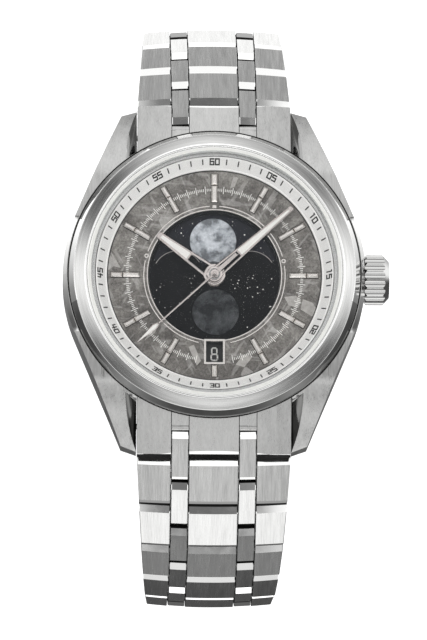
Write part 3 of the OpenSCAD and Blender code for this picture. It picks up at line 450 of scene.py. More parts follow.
@dataclass(frozen=True)
class MoonPrint:
    """A printed full moon: pale blue-grey highlands under soft grey seas."""

    name: str = "moon_print"
    seas_per_mm: float = 0.55
    pits_per_mm: float = 2.4

    def build(self) -> Material:
        """Make the moon's face from two scales of noise.

        Returns:
            A matt print of seas and pitted highlands.
        """
        material, tree, shader = new_material(self.name)
        place = object_mm(tree)
        broad = {"Vector": place, "Scale": self.seas_per_mm, "Detail": 8.0, "Roughness": 0.62}
        seas = add_node(tree, "TexNoise", broad)
        greys = [(0.38, linear("dcdfe3")), (0.5, linear("b4b8bd")), (0.6, linear("6f7276"))]
        tone = add_node(tree, "ValToRGB", {"Fac": seas.outputs["Fac"]}, greys)
        pits = add_node(tree, "TexVoronoi", {"Vector": place, "Scale": self.pits_per_mm})
        whites = [(0.0, linear("ffffff")), (0.25, linear("e4e6e8")), (0.6, linear("d2d5d8"))]
        rims = add_node(tree, "ValToRGB", {"Fac": pits.outputs["Distance"]}, whites)
        mix = {"Factor": 0.7, COLOUR_A: tone.outputs["Color"], COLOUR_B: rims.outputs["Color"]}
        mixed = add_node(tree, "Mix", mix, data_type="RGBA", blend_type="MULTIPLY")
        feed(tree, shader, {"Base Color": mixed.outputs[COLOUR_OUT], "Roughness": 0.6})
        return material


@dataclass(frozen=True)
class StripedPlate:
    """Rhodium plated movement metal with broad decorative stripes."""

    name: str
    colour: str = "d4d3d0"
    stripe_mm: float = 2.2
    period_at_scale_one: float = 0.314
    dark_share: float = 0.75

    def build(self) -> Material:
        """Make the striped plate.

        Returns:
            A satin metal whose tone runs from dark to light over each stripe.
        """
        material, tree, shader = new_material(self.name)
        scale = self.period_at_scale_one / self.stripe_mm
        stripes = {"Vector": object_mm(tree), "Scale": scale, "Distortion": 0.0}
        run = {"wave_type": "BANDS", "bands_direction": "DIAGONAL", "wave_profile": "SAW"}
        wave = add_node(tree, "TexWave", stripes, **run)
        low, high = toned(self.colour, self.dark_share), linear(self.colour)
        mix = {"Factor": wave.outputs["Fac"], COLOUR_A: low, COLOUR_B: high}
        tone = add_node(tree, "Mix", mix, data_type="RGBA")
        feed(tree, shader, {"Base Color": tone.outputs[COLOUR_OUT], "Metallic": 1.0, "Roughness": 0.28})
        return material


class Finishes:
    """Every finish of the watch, made once and shared."""

    def __init__(self) -> None:
        """Build all the materials, each with what it gives the eye."""
        # Stainless steel brushed in circles: a soft arc of light that follows the bezel
        self.bezel_brushed = BrushedSteel("steel_brushed_round", "c2c2c1", 0.24, Grain.ROUND).build()
        # The same steel brushed towards twelve: even grey lug tops with fine upright lines
        self.case_brushed = BrushedSteel("steel_brushed_lug", "b2b2b1", 0.3).build()
        # Duller round brushing on the case's side: a grey band with no clear reflection
        self.flank_brushed = BrushedSteel("steel_brushed_flank", "c4c4c3", 0.36, Grain.ROUND).build()
        # Brushing along each link: every row catches the light as its own slope turns
        self.link_brushed = BrushedSteel("steel_brushed_link", "bebebd", 0.25, Grain.UV).build()
        # Lapped bevels: hard white and black bands where the studio's fields end
        self.polished = PolishedSteel("steel_polished").build()
        # Turned pins and rings: a blurred glint, duller than the bevels, with a darker base colour that is
        # partly painted shade for the pins deep in the gaps
        self.pin_steel = PolishedSteel("steel_turned", "a9a9a8", 0.25).build()
        # Polished flutes in each other's shade, with the base colour darkened as painted shade too: bright
        # crests with grey valleys
        self.crown_steel = PolishedSteel("steel_crown_painted_shade", "bcbcbb", 0.1).build()
        # Broad meteorite crystals: flat pale patches that stand out of the grey
        self.crystal_vein = PlainFinish("meteorite_crystal", "a3a09c", 0.45, 0.35, 0.4, 0.7).build()
        # Painted shade: polished facets that face the links, given a dark base colour: dark mirrors
        self.lug_facet = PolishedSteel("steel_polished_painted_shade", "6a6a69", 0.12).build()
        # Painted shade: the bezel's flank towards six, given a darker base colour: a darker grey rim
        self.rim_steel = PolishedSteel("steel_polished_rim_painted_shade", "b4b4b3").build()
        # Painted shade: walls deep between links and the seams of bezel and end links, painted near black
        # where no light comes: black gaps
        self.gap_steel = PlainFinish("steel_gap_wall_painted_shade", "131312", 0.5, mottle=0.1, specular=0.15).build()
        # Satin silver lacquer: an even near white ring under the crystal
        satin = {"mottle": 0.03, "mottle_mm": 0.25, "specular": 0.3}
        self.ring_satin = PlainFinish("ring_satin_silver", "eae9e7", 0.5, **satin).build()
        # Etched meteorite: a grey-brown ground that never looks quite even
        self.meteorite = Meteorite().build()
        # Rhodium plated batons: warm mirror facets, light on one side and dark on the other
        self.marker = PolishedSteel("marker_rhodium", "dedad6", 0.16).build()
        # Rhodium plated hands: a pinkish grey mirror a little darker than the batons
        self.hand = PolishedSteel("hand_rhodium", "c6bfbc", 0.14).build()
        # Luminous paste: chalky and matt, the lightest part of the hands
        self.lume = PlainFinish("lume_paste", "e2e0dc", 0.8, mottle=0.05, mottle_mm=0.12).build()
        # Pad printed inks: flat lines with no shine
        self.black_ink = PlainFinish("ink_black", "151110", 0.6).build()
        self.white_ink = PlainFinish("ink_white", "efeeea", 0.6).build()
        # A dark tint round each baton: the fine shadow at its foot
        self.shade_ink = PlainFinish("dial_recess_shade", "3a3532", 0.7).build()
        # A grey ink on the smoked disc: the thin outline of its two humps
        self.line_ink = PlainFinish("ink_grey_line", "a5a19e", 0.6).build()
        # Night blue lacquer: a deep, uneven dark behind the stars
        self.sky = PlainFinish("sky_lacquer", "0d0d18", 0.35, mottle=0.5, mottle_mm=1.5, specular=0.2).build()
        # A matt printed moon: the one pale round shape against the night sky
        self.moon = MoonPrint().build()
        # Smoked acrylic: the lower moon shows through as a dim grey disc
        smoke = {"mottle": 0.05, "alpha": 0.42, "specular": 0.08}
        self.smoked = PlainFinish("smoked_acrylic", "0d0b0e", 0.3, **smoke).build()
        # Matt black paint under the date's numerals
        self.date_black = PlainFinish("date_disc_black", "121112", 0.55).build()
        # Coated crystal: clear over the dial, with a faint pale edge
        self.crystal = CoatedSapphire("sapphire_coated").build()
        # Plainer crystal in the case back: a thin veil over the rotor
        self.back_glass = CoatedSapphire("sapphire_back", 0.1).build()
        # Striped rhodium plate: broad light and dark bands behind the back crystal
        self.plate = StripedPlate("rhodium_striped").build()
        # Gilt brass: the balance's warm yellow
        self.brass = PlainFinish("gilt_brass", "c9a35a", 0.3, 1.0, 0.06).build()
        # Rubber and nylon gaskets: a matt black line and a milky one
        self.rubber = PlainFinish("gasket_rubber", "1a1a1a", 0.7).build()
        self.clear_gasket = PlainFinish("gasket_white", "d8d8d4", 0.5).build()
        # Heat blued screws: small dark blue mirrors
        self.blued = PolishedSteel("screw_blued", "3c4f86", 0.15).build()


# Mesh helpers


def extrude(bm: Mesh, face: Face, step: Vector) -> None:
    """Turn a face into a closed prism.

    Args:
        bm: The face's mesh.
        face: The prism's foot.
        step: From the foot to the top.
    """
    made = bmesh.ops.extrude_face_region(bm, geom=[face], use_keep_orig=True)
    verts = [g for g in made["geom"] if isinstance(g, bmesh.types.BMVert)]
    bmesh.ops.translate(bm, verts=verts, vec=step)
    bmesh.ops.recalc_face_normals(bm, faces=bm.faces)


def add_prism(bm: Mesh, points: Sequence[Point], low: float, high: float) -> None:
    """Add a prism on an outline in the dial's plane."""
    extrude(bm, bm.faces.new([bm.verts.new((x, y, low)) for x, y in points]), Vector((0, 0, high - low)))


def add_block(bm: Mesh, size: Sequence[float], place: Matrix = Matrix.Identity(4)) -> None:
    """Add a block of a size, centred on its place."""
    bmesh.ops.create_cube(bm, size=1, matrix=place @ Matrix.Diagonal((*size, 1)))


def soften(bm: Mesh, width: float, pick: Callable[[Edge], bool], segments: int = 2) -> None:
    """Bevel those of the sharp edges that a test picks.

    Args:
        bm: The mesh.
        width: The bevel's width.
        pick: The test of an edge.
        segments: Steps over the bevel.
    """
    edges = [e for e in bm.edges if len(e.link_faces) == 2 and e.calc_face_angle(0) > SHARP_RAD and pick(e)]
    shape = {"offset": width, "segments": segments, "profile": 0.5, "material": -1, "clamp_overlap": True}
    bmesh.ops.bevel(bm, geom=edges, affect="EDGES", **shape)


def above(height: float) -> Callable[[Edge], bool]:
    """A test for edges that lie wholly at or above a height."""
    return lambda edge: all(v.co.z > height - MERGE_MM for v in edge.verts)


def lathe(points: Sequence[Point], steps: int = 180) -> Mesh:
    """Spin a closed radius and height outline round the dial's axis.

    Args:
        points: Radius and height of each corner, in order.
        steps: Number of steps of the full turn.

    Returns:
        A closed solid of revolution.
    """
    bm = bmesh.new()
    verts = [bm.verts.new((r, 0, z)) for r, z in points]
    pairs = [(a, b) for a, b in zip(verts, verts[1:] + verts[:1]) if max(a.co.x, b.co.x) >= AXIS_MM]
    edges = [bm.edges.new(pair) for pair in pairs]
    turn = {"axis": (0, 0, 1), "cent": (0, 0, 0), "angle": math.tau, "steps": steps, "use_merge": True}
    bmesh.ops.spin(bm, geom=verts + edges, **turn)
    bmesh.ops.remove_doubles(bm, verts=bm.verts, dist=SEAM_MM)
    bmesh.ops.recalc_face_normals(bm, faces=bm.faces)
    return bm


def washer(inner: float, outer: float, low: float, high: float, steps: int = 180) -> Mesh:
    """Spin a flat ring, or a disc where its inner radius is zero."""
    return lathe([(inner, low), (outer, low), (outer, high), (inner, high)], steps)


def spun_arc(corners: Sequence[Sequence[float]], clockwise: bool, degrees: float, steps: int) -> Mesh:
    """Spin a section through part of a turn round the dial's axis.

    Args:
        corners: The section's corners, in order.
        clockwise: Whether it runs as the hands do.
        degrees: How far it runs.
        steps: Number of steps.

    Returns:
        A closed curved bar.
    """
    bm = bmesh.new()
    face = bm.faces.new([bm.verts.new(corner) for corner in corners])
    axis = (0, 0, -1 if clockwise else 1)
    bmesh.ops.spin(bm, geom=[face], axis=axis, cent=(0, 0, 0), angle=math.radians(degrees), steps=steps)
    bmesh.ops.recalc_face_normals(bm, faces=bm.faces)
    return bm


def paint(bm: Mesh, index: int) -> Mesh:
    """Give every face of a mesh one of its piece's finishes.

    Args:
        bm: The mesh.
        index: The finish's place in the piece's list.

    Returns:
        The same mesh.
    """
    for face in bm.faces:
        face.material_index = index
    return bm


def split_across(bm: Mesh, x: float) -> None:
    """Cut a mesh's faces along one plane across X."""
    geom = bm.verts[:] + bm.edges[:] + bm.faces[:]
    bmesh.ops.bisect_plane(bm, geom=geom, plane_co=(x, 0, 0), plane_no=(1, 0, 0))


def join(target: Mesh, part: Mesh, matrix: Matrix = Matrix.Identity(4)) -> None:
    """Add a part to a target mesh and free it.

    Args:
        target: The mesh that takes the part.
        part: The part.
        matrix: Where the part goes.
    """
    part.transform(matrix)
    mesh = bpy.data.meshes.new("joined")
    part.to_mesh(mesh)
    part.free()
    target.from_mesh(mesh)
    bpy.data.meshes.remove(mesh)


def merged(node: str) -> Mesh:
    """Copy a CAD node's mesh in millimetres, its loose triangles merged into whole faces.

    Args:
        node: The CAD node's name.

    Returns:
        The merged copy.
    """
    bm = bmesh.new()
    bm.from_mesh(frame["nodes"][node].data)
    bmesh.ops.scale(bm, vec=(1 / MM, 1 / MM, 1 / MM), verts=bm.verts)
    bmesh.ops.remove_doubles(bm, verts=bm.verts, dist=MERGE_MM)
    bmesh.ops.dissolve_limit(bm, angle_limit=math.radians(FLAT_DEG), verts=bm.verts, edges=bm.edges)
    return bm


def finish_piece(
    bm: Mesh,
    name: str,
    body: str,
    finishes: Iterable[Material],
    replaced: Sequence[str] = (),
    crisp_deg: float = 28,
) -> None:
    """Turn a mesh in millimetres into a finished piece on its body.

    Args:
        bm: The mesh, in the watch's own frame.
        name: The piece's name.
        body: The CAD body it rides on.
        finishes: Its materials, in the order of its faces' indices.
        replaced: CAD nodes that it stands for.
        crisp_deg: Edges sharper than this stay crisp.
    """
    bmesh.ops.scale(bm, vec=(MM, MM, MM), verts=bm.verts)
    mesh = bpy.data.meshes.new(name)
    bm.to_mesh(mesh)
    bm.free()
    for material in finishes:
        mesh.materials.append(material)
    mesh.shade_smooth()
    mesh.set_sharp_from_angle(angle=math.radians(crisp_deg))
    piece = bpy.data.objects.new(name, mesh)
    bpy.context.scene.collection.objects.link(piece)
    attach(piece, body)
    if replaced:
        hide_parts(*replaced)
    LOG.info("%s: %d faces on %s", name, len(mesh.polygons), body)


def dress(nodes: Iterable[str], material: Material) -> None:
    """Give CAD nodes a finish.

    Args:
        nodes: Names of CAD nodes that stay as they are.
        material: The finish.
    """
    for name in nodes:
        node = frame["nodes"][name]
        for slot in node.material_slots:
            slot.material = material
        if not node.material_slots:
            node.data.materials.append(material)
        LOG.info("%s: finished in %s", name, material.name)


def turned(angle: float) -> Matrix:
    """A clockwise turn about the dial's axis, in degrees."""
    return Matrix.Rotation(-math.radians(angle), 4, "Z")


def moved(x: float, y: float, z: float) -> Matrix:
    """A shift."""
    return Matrix.Translation((x, y, z))


# Plain numerals drawn as strokes, on a field one wide and two high

DIGITS: dict[str, list[list[Point]]] = {
    "0": [[(0, 0), (1, 0), (1, 2), (0, 2), (0, 0)]],
    "1": [[(0.25, 2), (0.6, 2), (0.6, 0)]],
    "2": [[(0, 2), (1, 2), (1, 1), (0, 1), (0, 0), (1, 0)]],
    "3": [[(0, 2), (1, 2), (1, 0), (0, 0)], [(0.3, 1), (1, 1)]],
    "4": [[(0, 2), (0, 0.8), (1, 0.8)], [(0.75, 2), (0.75, 0)]],
    "5": [[(1, 2), (0, 2), (0, 1.1), (1, 1.1), (1, 0), (0, 0)]],
    "6": [[(1, 2), (0, 2), (0, 0), (1, 0), (1, 1.1), (0, 1.1)]],
    "7": [[(0, 2), (1, 2), (0.5, 0)]],
    "8": [
        [(0.25, 0), (0.75, 0), (1, 0.2), (1, 0.8), (0.75, 1), (0.25, 1), (0, 0.8), (0, 0.2), (0.25, 0)],
        [(0.25, 1), (0.1, 1.2), (0.1, 1.8), (0.3, 2), (0.7, 2), (0.9, 1.8), (0.9, 1.2), (0.75, 1)],
    ],
    "9": [[(1, 0.9), (0, 0.9), (0, 2), (1, 2), (1, 0), (0, 0)]],
}


@dataclass(frozen=True)
class NumeralStyle:
    """Size of a set of printed numerals."""

    height: float
    width: float
    stroke: float
    spacing: float
    thickness: float = 0.02
    overlap_share: float = 0.7

    def draw(self, text: str) -> Mesh:
        """Draw a number centred on the origin, upright along +Y.

        Args:
            text: The digits.

        Returns:
            Flat strokes that overlap at their corners.
        """
        bm = bmesh.new()
        reach = len(text) * self.width + (len(text) - 1) * self.spacing
        for index, digit in enumerate(text):
            left = -reach / 2 + index * (self.width + self.spacing)
            for line in DIGITS[digit]:
                spots = [Vector((left + x * self.width, (y / 2 - 0.5) * self.height, 0)) for x, y in line]
                for a, b in zip(spots, spots[1:]):
                    self._stroke(bm, a, b)
        return bm

    def _stroke(self, bm: Mesh, a: Vector, b: Vector) -> None:
        """Add one straight stroke, a little longer than the way between its ends.

        Args:
            bm: The number's mesh.
            a: One end.
            b: The other end.
        """
        step = b - a
        size = (step.length + self.stroke * self.overlap_share, self.stroke, self.thickness)
        turn = step.to_track_quat("X", "Z").to_matrix().to_4x4()
        add_block(bm, size, Matrix.Translation((a + b) / 2) @ turn)


@dataclass
class CaseShell:
    """Case body, bezel, crystals, minute ring, crown and case back."""

    finishes: Finishes
    facet_lean: float = 0.3
    flat_lean: float = 0.93
    flank_lean: float = 0.25
    rim_reach_y: float = 16.5
    bezel_profile: tuple[Point, ...] = (
        (17.9, 9.12), (20.66, 9.12), (20.7, 9.2), (20.6, 9.45), (20.57, 9.5),
        (20.01, 10.47), (19.98, 10.52), (19.86, 10.62), (18.46, 11.34), (18.32, 11.38),
        (18.16, 11.36), (18.02, 11.22), (17.98, 11.1), (17.9, 11.1),
    )
    bezel_slope_in: float = 18.46
    bezel_slope_out: float = 19.86
    bezel_slope_lean: float = 0.5
    shaded_below_y: float = -4.0
    bezel_seat: Ring = (16.95, 17.9, 9.12, 10.08)
    seam_ring: Ring = (20.7, 20.86, 9.1, 9.13)
    crystal_profile: tuple[Point, ...] = (
        (0, 10.1), (17.48, 10.1), (17.48, 11.3), (17.42, 11.4), (17.15, 11.67), (17.05, 11.7), (0, 11.7),
    )
    ring_inner: float = 15.25
    ring_outer: float = 16.85
    ring_low: float = 8.31
    ring_high: float = 10.08
    slope_low: Point = (15.45, 8.6)
    slope_high: Point = (16.65, 10.1)
    ring_lip: tuple[Point, ...] = ((15.36, 8.64), (15.27, 8.6), (15.25, 8.5))
    line_ring: Ring = (15.1, 15.24, 8.3, 8.32)
    tick: tuple[float, float, float] = (0.17, 1.0, 0.02)
    numerals: NumeralStyle = NumeralStyle(0.74, 0.52, 0.18, 0.24)
    numeral_stretch: float = 1.4
    print_share: float = 0.64
    print_lift: float = 0.02

    def build(self) -> None:
        """Build and dress the whole shell."""
        self._case()
        self._bezel()
        self._crystal()
        self._minute_ring()
        dress(["crown_tube", "winding_stem", "spring_bars"], self.finishes.pin_steel)
        dress(["crown"], self.finishes.crown_steel)
        dress(["back_screws_set"], self.finishes.polished)
        dress(["case_back"], self.finishes.flank_brushed)
        dress(["back_crystal"], self.finishes.back_glass)
        dress(["back_gasket", "crown_gasket"], self.finishes.rubber)
        dress(["crystal_gasket"], self.finishes.clear_gasket)

    def _case(self) -> None:
        """Rework the case body: merged, and brushed or polished by facet, with painted shade on the polished
        facets towards six.
        """
        look = self.finishes
        finishes = [look.case_brushed, look.polished, look.flank_brushed, look.lug_facet]
        top, polished, flank, shaded = range(len(finishes))
        bm = merged("mid_case")
        for face in bm.faces:
            normal, centre = face.normal, face.calc_center_median()
            facet = abs(normal.x) > self.facet_lean and normal.x * centre.x < 0 and normal.z > self.facet_lean
            rim = self.flank_lean < normal.z < self.flat_lean and abs(centre.y) < self.rim_reach_y
            # Painted shade: polished facets towards six take the dark facet finish
            if facet and centre.y < 0:
                face.material_index = shaded
            elif facet or rim:
                face.material_index = polished
            else:
                face.material_index = flank if normal.z < self.flank_lean else top
        finish_piece(bm, "case_body", Body.CASE, finishes, ["mid_case"])

    def _bezel(self) -> None:
        """Lathe the bezel: polished flank with painted shade towards six, brushed slope and polished inner
        step, with a seam below painted near black as shade.
        """
        look = self.finishes
        finishes = [look.bezel_brushed, look.polished, look.gap_steel, look.rim_steel]
        brushed, polished, seam, rim = range(len(finishes))
        bm = lathe(self.bezel_profile)
        for face in bm.faces:
            centre = face.calc_center_median()
            radius = math.hypot(centre.x, centre.y)
            slope = self.bezel_slope_in < radius < self.bezel_slope_out
            if slope and face.normal.z > self.bezel_slope_lean:
                face.material_index = brushed
            else:
                # Painted shade: flank faces towards six take the darker rim finish
                shaded = radius > self.bezel_slope_out and centre.y < self.shaded_below_y
                face.material_index = rim if shaded else polished
        join(bm, washer(*self.bezel_seat))
        # Painted shade: the seam ring below the bezel takes the near black gap finish
        join(bm, paint(washer(*self.seam_ring), seam))
        finish_piece(bm, "bezel_dressed", Body.CASE, finishes, ["bezel"])

    def _crystal(self) -> None:
        """Lathe the crystal with its bevelled edge."""
        bm = lathe(self.crystal_profile)
        finish_piece(bm, "crystal_clear", Body.CASE, [self.finishes.crystal], ["crystal"])

    def _minute_ring(self) -> None:
        """Lathe the sloping ring and print its ticks, its numerals and a painted shadow line on the dial
        inside it.
        """
        low, high = Vector(self.slope_low), Vector(self.slope_high)
        inner, outer = self.ring_inner, self.ring_outer
        foot = [(inner, self.ring_low), (outer, self.ring_low), (outer, self.ring_high)]
        bm = lathe([*foot, self.slope_high, self.slope_low, *self.ring_lip])
        satin = [self.finishes.ring_satin]
        finish_piece(bm, "minute_ring_dressed", Body.CASE, satin, ["minute_ring"])
        ink = bmesh.new()
        rise = high - low
        lean = Matrix.Rotation(math.atan2(rise.y, rise.x), 4, "X")
        middle = low + rise * self.print_share
        stretch = Matrix.Diagonal((1, self.numeral_stretch, 1, 1))
        for minute in range(60):
            spot = turned(minute * MINUTE_DEG) @ moved(0, middle.x, middle.y + self.print_lift) @ lean
            if minute % 5:
                tick = bmesh.new()
                add_block(tick, self.tick)
                join(ink, tick, spot)
            else:
                flip = turned(180) if 15 < minute < 45 else Matrix.Identity(4)
                join(ink, self.numerals.draw(f"{minute or 60:02d}"), spot @ flip @ stretch)
        # Painted shadow: a thin black ring on the dial just inside the minute ring
        join(ink, washer(*self.line_ring))
        finish_piece(ink, "minute_print", Body.CASE, [self.finishes.black_ink])


@dataclass
class DialFace:
    """Dial plate with its prints, the markers, the date and the moon display."""

    finishes: Finishes
    dial_z: float = 8.3
    crystals: tuple[tuple[Point, ...], ...] = (
        ((9.9, -3.1), (11.5, -2.9), (12.3, -3.5), (11.9, -4.7), (10.5, -4.3)),
        ((12.5, -3.4), (13.9, -3.9), (14.6, -5.1), (13.8, -5.9), (12.2, -4.9)),
        ((-9.9, -9.5), (-9.4, -8.6), (-8.0, -7.3), (-8.4, -8.4)),
        ((-3.7, -10.4), (-2.9, -10.1), (-1.9, -12.4), (-2.5, -13.1)),
        ((3.0, -12.9), (4.1, -11.5), (5.4, -11.8), (4.2, -13.3)),
        ((2.2, 12.6), (2.7, 14.4), (3.4, 14.2), (2.9, 12.9)),
        ((-14.7, 3.4), (-14.2, 1.2), (-13.3, 1.0), (-14.0, 2.2)),
    )
    crystal_sunk: float = 0.02
    crystal_proud: float = 0.004
    marker_r: float = 14.7
    marker_split_r: float = 13.05
    marker_in_r: float = 10.6
    marker_six_r: float = 13.025
    marker_w: float = 0.72
    marker_12_w: float = 0.85
    marker_h: float = 0.4
    marker_split: float = 0.12
    marker_bevel: float = 0.2
    marker_shade: float = 0.13
    shade_h: float = 0.01
    shade_lift: float = 0.006
    scale_r: float = 12.4
    scale_per_hour: int = 25
    scale_w: float = 0.08
    print_h: float = 0.02
    wave_low: float = 0.34
    wave_swell: float = 0.72
    wave_reach: float = 0.6
    wave_scatter: float = 0.08
    marker_clear_deg: float = 1.8
    date_clear_deg: float = 12.0
    bright_in: float = 9.95
    bright_out: float = 10.09
    bright_h: float = 0.06
    bright_spans: tuple[tuple[int, int], ...] = ((4, 74), (82, 167), (193, 282), (290, 356))
    thin_in: float = 9.46
    thin_out: float = 9.6
    thin_sunk: float = 0.02
    thin_h: float = 0.03
    loop_angles: tuple[int, ...] = (286, 78)
    loop_in: float = 0.16
    loop_out: float = 0.32
    loop_h: float = 0.05
    loop_r: float = 10.02
    loop_steps: int = 24
    top_bar: tuple[float, float, float] = (0.55, 0.42, 0.06)
    top_bar_r: float = 9.95
    disc_low: float = 7.15
    disc_z: float = 7.35
    sky_in: float = 1.55
    sky_out: float = 9.25
    moon_r: float = 5.15
    moon_radius: float = 3.3
    moon_turn: float = -2.0
    moon_edge: float = 0.06
    moon_edge_h: float = 0.05
    moon_dome_h: float = 0.07
    moon_steps: int = 96
    ink_lift: float = 0.01
    sky_stars: int = 150
    sky_star_reach: Point = (2.2, 9.0)
    sky_star_radii: tuple[float, ...] = (0.02, 0.028, 0.036, 0.06)
    sky_star_clear: float = 0.15
    bright_stars: tuple[tuple[float, float, float], ...] = (
        (-4.7, 6.3, 0.11), (4.3, 6.1, 0.11), (-4.4, 5.9, 0.06), (6.6, 4.2, 0.08),
        (5.0, 4.6, 0.06), (-6.4, 4.4, 0.07), (2.6, 8.0, 0.06), (-3.1, 7.7, 0.06),
    )
    bright_star_lift: float = 0.015
    smoked_z: float = 7.9
    smoked_stars: int = 85
    smoked_star_span: Point = (88, 272)
    smoked_star_reach: Point = (2.4, 9.2)
    smoked_star_radii: tuple[float, ...] = (0.026, 0.032, 0.045, 0.07)
    smoked_star_clear: float = 0.1
    right_star_share: float = 1.15
    left_star_share: float = 0.75
    hump_in: float = 3.57
    hump_out: float = 3.64
    hump_start: float = 33.0
    hump_sweep: float = 118.0
    hump_steps: int = 40
    date_in: float = 9.55
    date_out: float = 14.7
    date_r: float = 11.25
    date_shown: int = 8
    date_days: int = 31
    date_style: NumeralStyle = NumeralStyle(1.8, 0.9, 0.2, 0.3)
    date_two_digits: NumeralStyle = NumeralStyle(1.8, 0.6, 0.18, 0.3)
    rng: random.Random = field(default_factory=lambda: random.Random(12))

    def build(self) -> None:
        """Build and dress the dial."""
        dress(["dial_plate"], self.finishes.meteorite)
        dress(["date_frame"], self.finishes.marker)
        self._crystals()
        self._markers()
        dress(["smoked_disc"], self.finishes.smoked)
        self._wave_scale()
        self._bright_ring()
        self._moon_disc()
        self._smoked_print()
        self._date_disc()

    def _crystals(self) -> None:
        """Lay the meteorite's few broad pale crystals flush on the dial."""
        bm = bmesh.new()
        for outline in self.crystals:
            add_prism(bm, outline, self.dial_z - self.crystal_sunk, self.dial_z + self.crystal_proud)
        finish_piece(bm, "meteorite_crystals", Body.CASE, [self.finishes.crystal_vein])

    def _markers(self) -> None:
        """Cut the applied markers as bevelled batons, each with its thin shadow on the dial."""
        bm, shade = bmesh.new(), bmesh.new()
        for hour in range(1, 13):
            width = self.marker_12_w if hour == 12 else self.marker_w
            if hour == 6:
                spans = [(self.marker_six_r, self.marker_r)]
            else:
                half_split = self.marker_split / 2
                spans = [(self.marker_split_r + half_split, self.marker_r)]
                spans.append((self.marker_in_r, self.marker_split_r - half_split))
            for start, end in spans:
                middle, length = (start + end) / 2, end - start
                baton = bmesh.new()
                size = (width, length, self.marker_h)
                add_block(baton, size, moved(0, middle, self.dial_z + self.marker_h / 2))
                soften(baton, self.marker_bevel, above(self.dial_z + self.marker_h), 1)
                join(bm, baton, turned(hour * HOUR_DEG))
                under = bmesh.new()
                size = (width + 2 * self.marker_shade, length + self.marker_shade, self.shade_h)
                add_block(under, size, moved(0, middle, self.dial_z + self.shade_lift))
                join(shade, under, turned(hour * HOUR_DEG))
        steel = [self.finishes.marker]
        finish_piece(bm, "markers_dressed", Body.CASE, steel, ["hour_markers"])
        finish_piece(shade, "marker_shade_print", Body.CASE, [self.finishes.shade_ink])

    def _wave_scale(self) -> None:
        """Print the fine minute scale, whose ticks swell at each minute like a sound wave."""
        bm = bmesh.new()
        per_minute = self.scale_per_hour / 5
        for index in range(12 * self.scale_per_hour):
            angle = index * HOUR_DEG / self.scale_per_hour
            off = abs((angle / MINUTE_DEG + 0.5) % 1 - 0.5) * per_minute
            at_marker = min(angle % HOUR_DEG, HOUR_DEG - angle % HOUR_DEG) < self.marker_clear_deg
            if at_marker or abs(angle - 180) < self.date_clear_deg:
                continue
            swell = self.wave_swell * math.exp(-((off / self.wave_reach) ** 2))
            length = self.wave_low + swell + self.rng.uniform(0, self.wave_scatter)
            tick = bmesh.new()
            size = (self.scale_w, length, self.print_h)
            add_block(tick, size, moved(0, self.scale_r, self.dial_z + self.ink_lift))
            join(bm, tick, turned(angle))
        finish_piece(bm, "wave_scale_print", Body.CASE, [self.finishes.white_ink])

    def _bright_ring(self) -> None:
        """Add the raised bright ring round the moon window, broken at the loops, the date and twelve."""
        bm = bmesh.new()
        low, high = self.dial_z, self.dial_z + self.bright_h
        inner, outer = self.bright_in, self.bright_out
        section = [(0, inner, low), (0, inner, high), (0, outer, high), (0, outer, low)]
        for start, end in self.bright_spans:
            join(bm, spun_arc(section, True, end - start, end - start), turned(start))
        join(bm, washer(self.thin_in, self.thin_out, low - self.thin_sunk, low + self.thin_h))
        for angle in self.loop_angles:
            loop = washer(self.loop_in, self.loop_out, low, low + self.loop_h, self.loop_steps)
            join(bm, loop, turned(angle) @ moved(0, self.loop_r, 0))
        add_block(bm, self.top_bar, moved(0, self.top_bar_r, low + self.top_bar[2] / 2))
        finish_piece(bm, "window_ring", Body.CASE, [self.finishes.marker])

    def _moon_disc(self) -> None:
        """Make the turning night sky with its two moons and stars."""
        look = self.finishes
        finishes = [look.sky, look.moon, look.white_ink]
        moon, star = 1, 2
        bm = washer(self.sky_in, self.sky_out, self.disc_low, self.disc_z)
        face = [
            (0, self.disc_z),
            (self.moon_radius, self.disc_z),
            (self.moon_radius - self.moon_edge, self.disc_z + self.moon_edge_h),
            (0, self.disc_z + self.moon_dome_h),
        ]
        for sign in (1, -1):
            place = turned(self.moon_turn) @ moved(0, sign * self.moon_r, 0)
            join(bm, paint(lathe(face, self.moon_steps), moon), place)
        for _ in range(self.sky_stars):
            angle, radius = self.rng.uniform(0, FULL_TURN), self.rng.uniform(*self.sky_star_reach)
            spot = turned(angle) @ Vector((0, radius, self.disc_z + self.ink_lift))
            moons = [turned(self.moon_turn) @ Vector((0, sign * self.moon_r, spot.z)) for sign in (1, -1)]
            if min((spot - centre).length for centre in moons) > self.moon_radius + self.sky_star_clear:
                self._star(bm, spot, self.rng.choice(self.sky_star_radii), star)
        for x, y, radius in self.bright_stars:
            self._star(bm, Vector((x, y, self.disc_z + self.bright_star_lift)), radius, star)
        finish_piece(bm, "moon_disc_dressed", Body.MOON, finishes, ["moon_disc"])

    @staticmethod
    def _star(bm: Mesh, spot: Vector, radius: float, index: int) -> None:
        """Add one printed star as a small six-sided dot.

        Args:
            bm: The print's mesh.
            spot: The star's place.
            radius: Its radius.
            index: Its finish's place in the piece's list.
        """
        place = Matrix.Translation(spot)
        made = bmesh.ops.create_circle(bm, cap_ends=True, radius=radius, segments=6, matrix=place)
        for face in {f for v in made["verts"] for f in v.link_faces}:
            face.material_index = index
            if face.normal.z < 0:
                face.normal_flip()

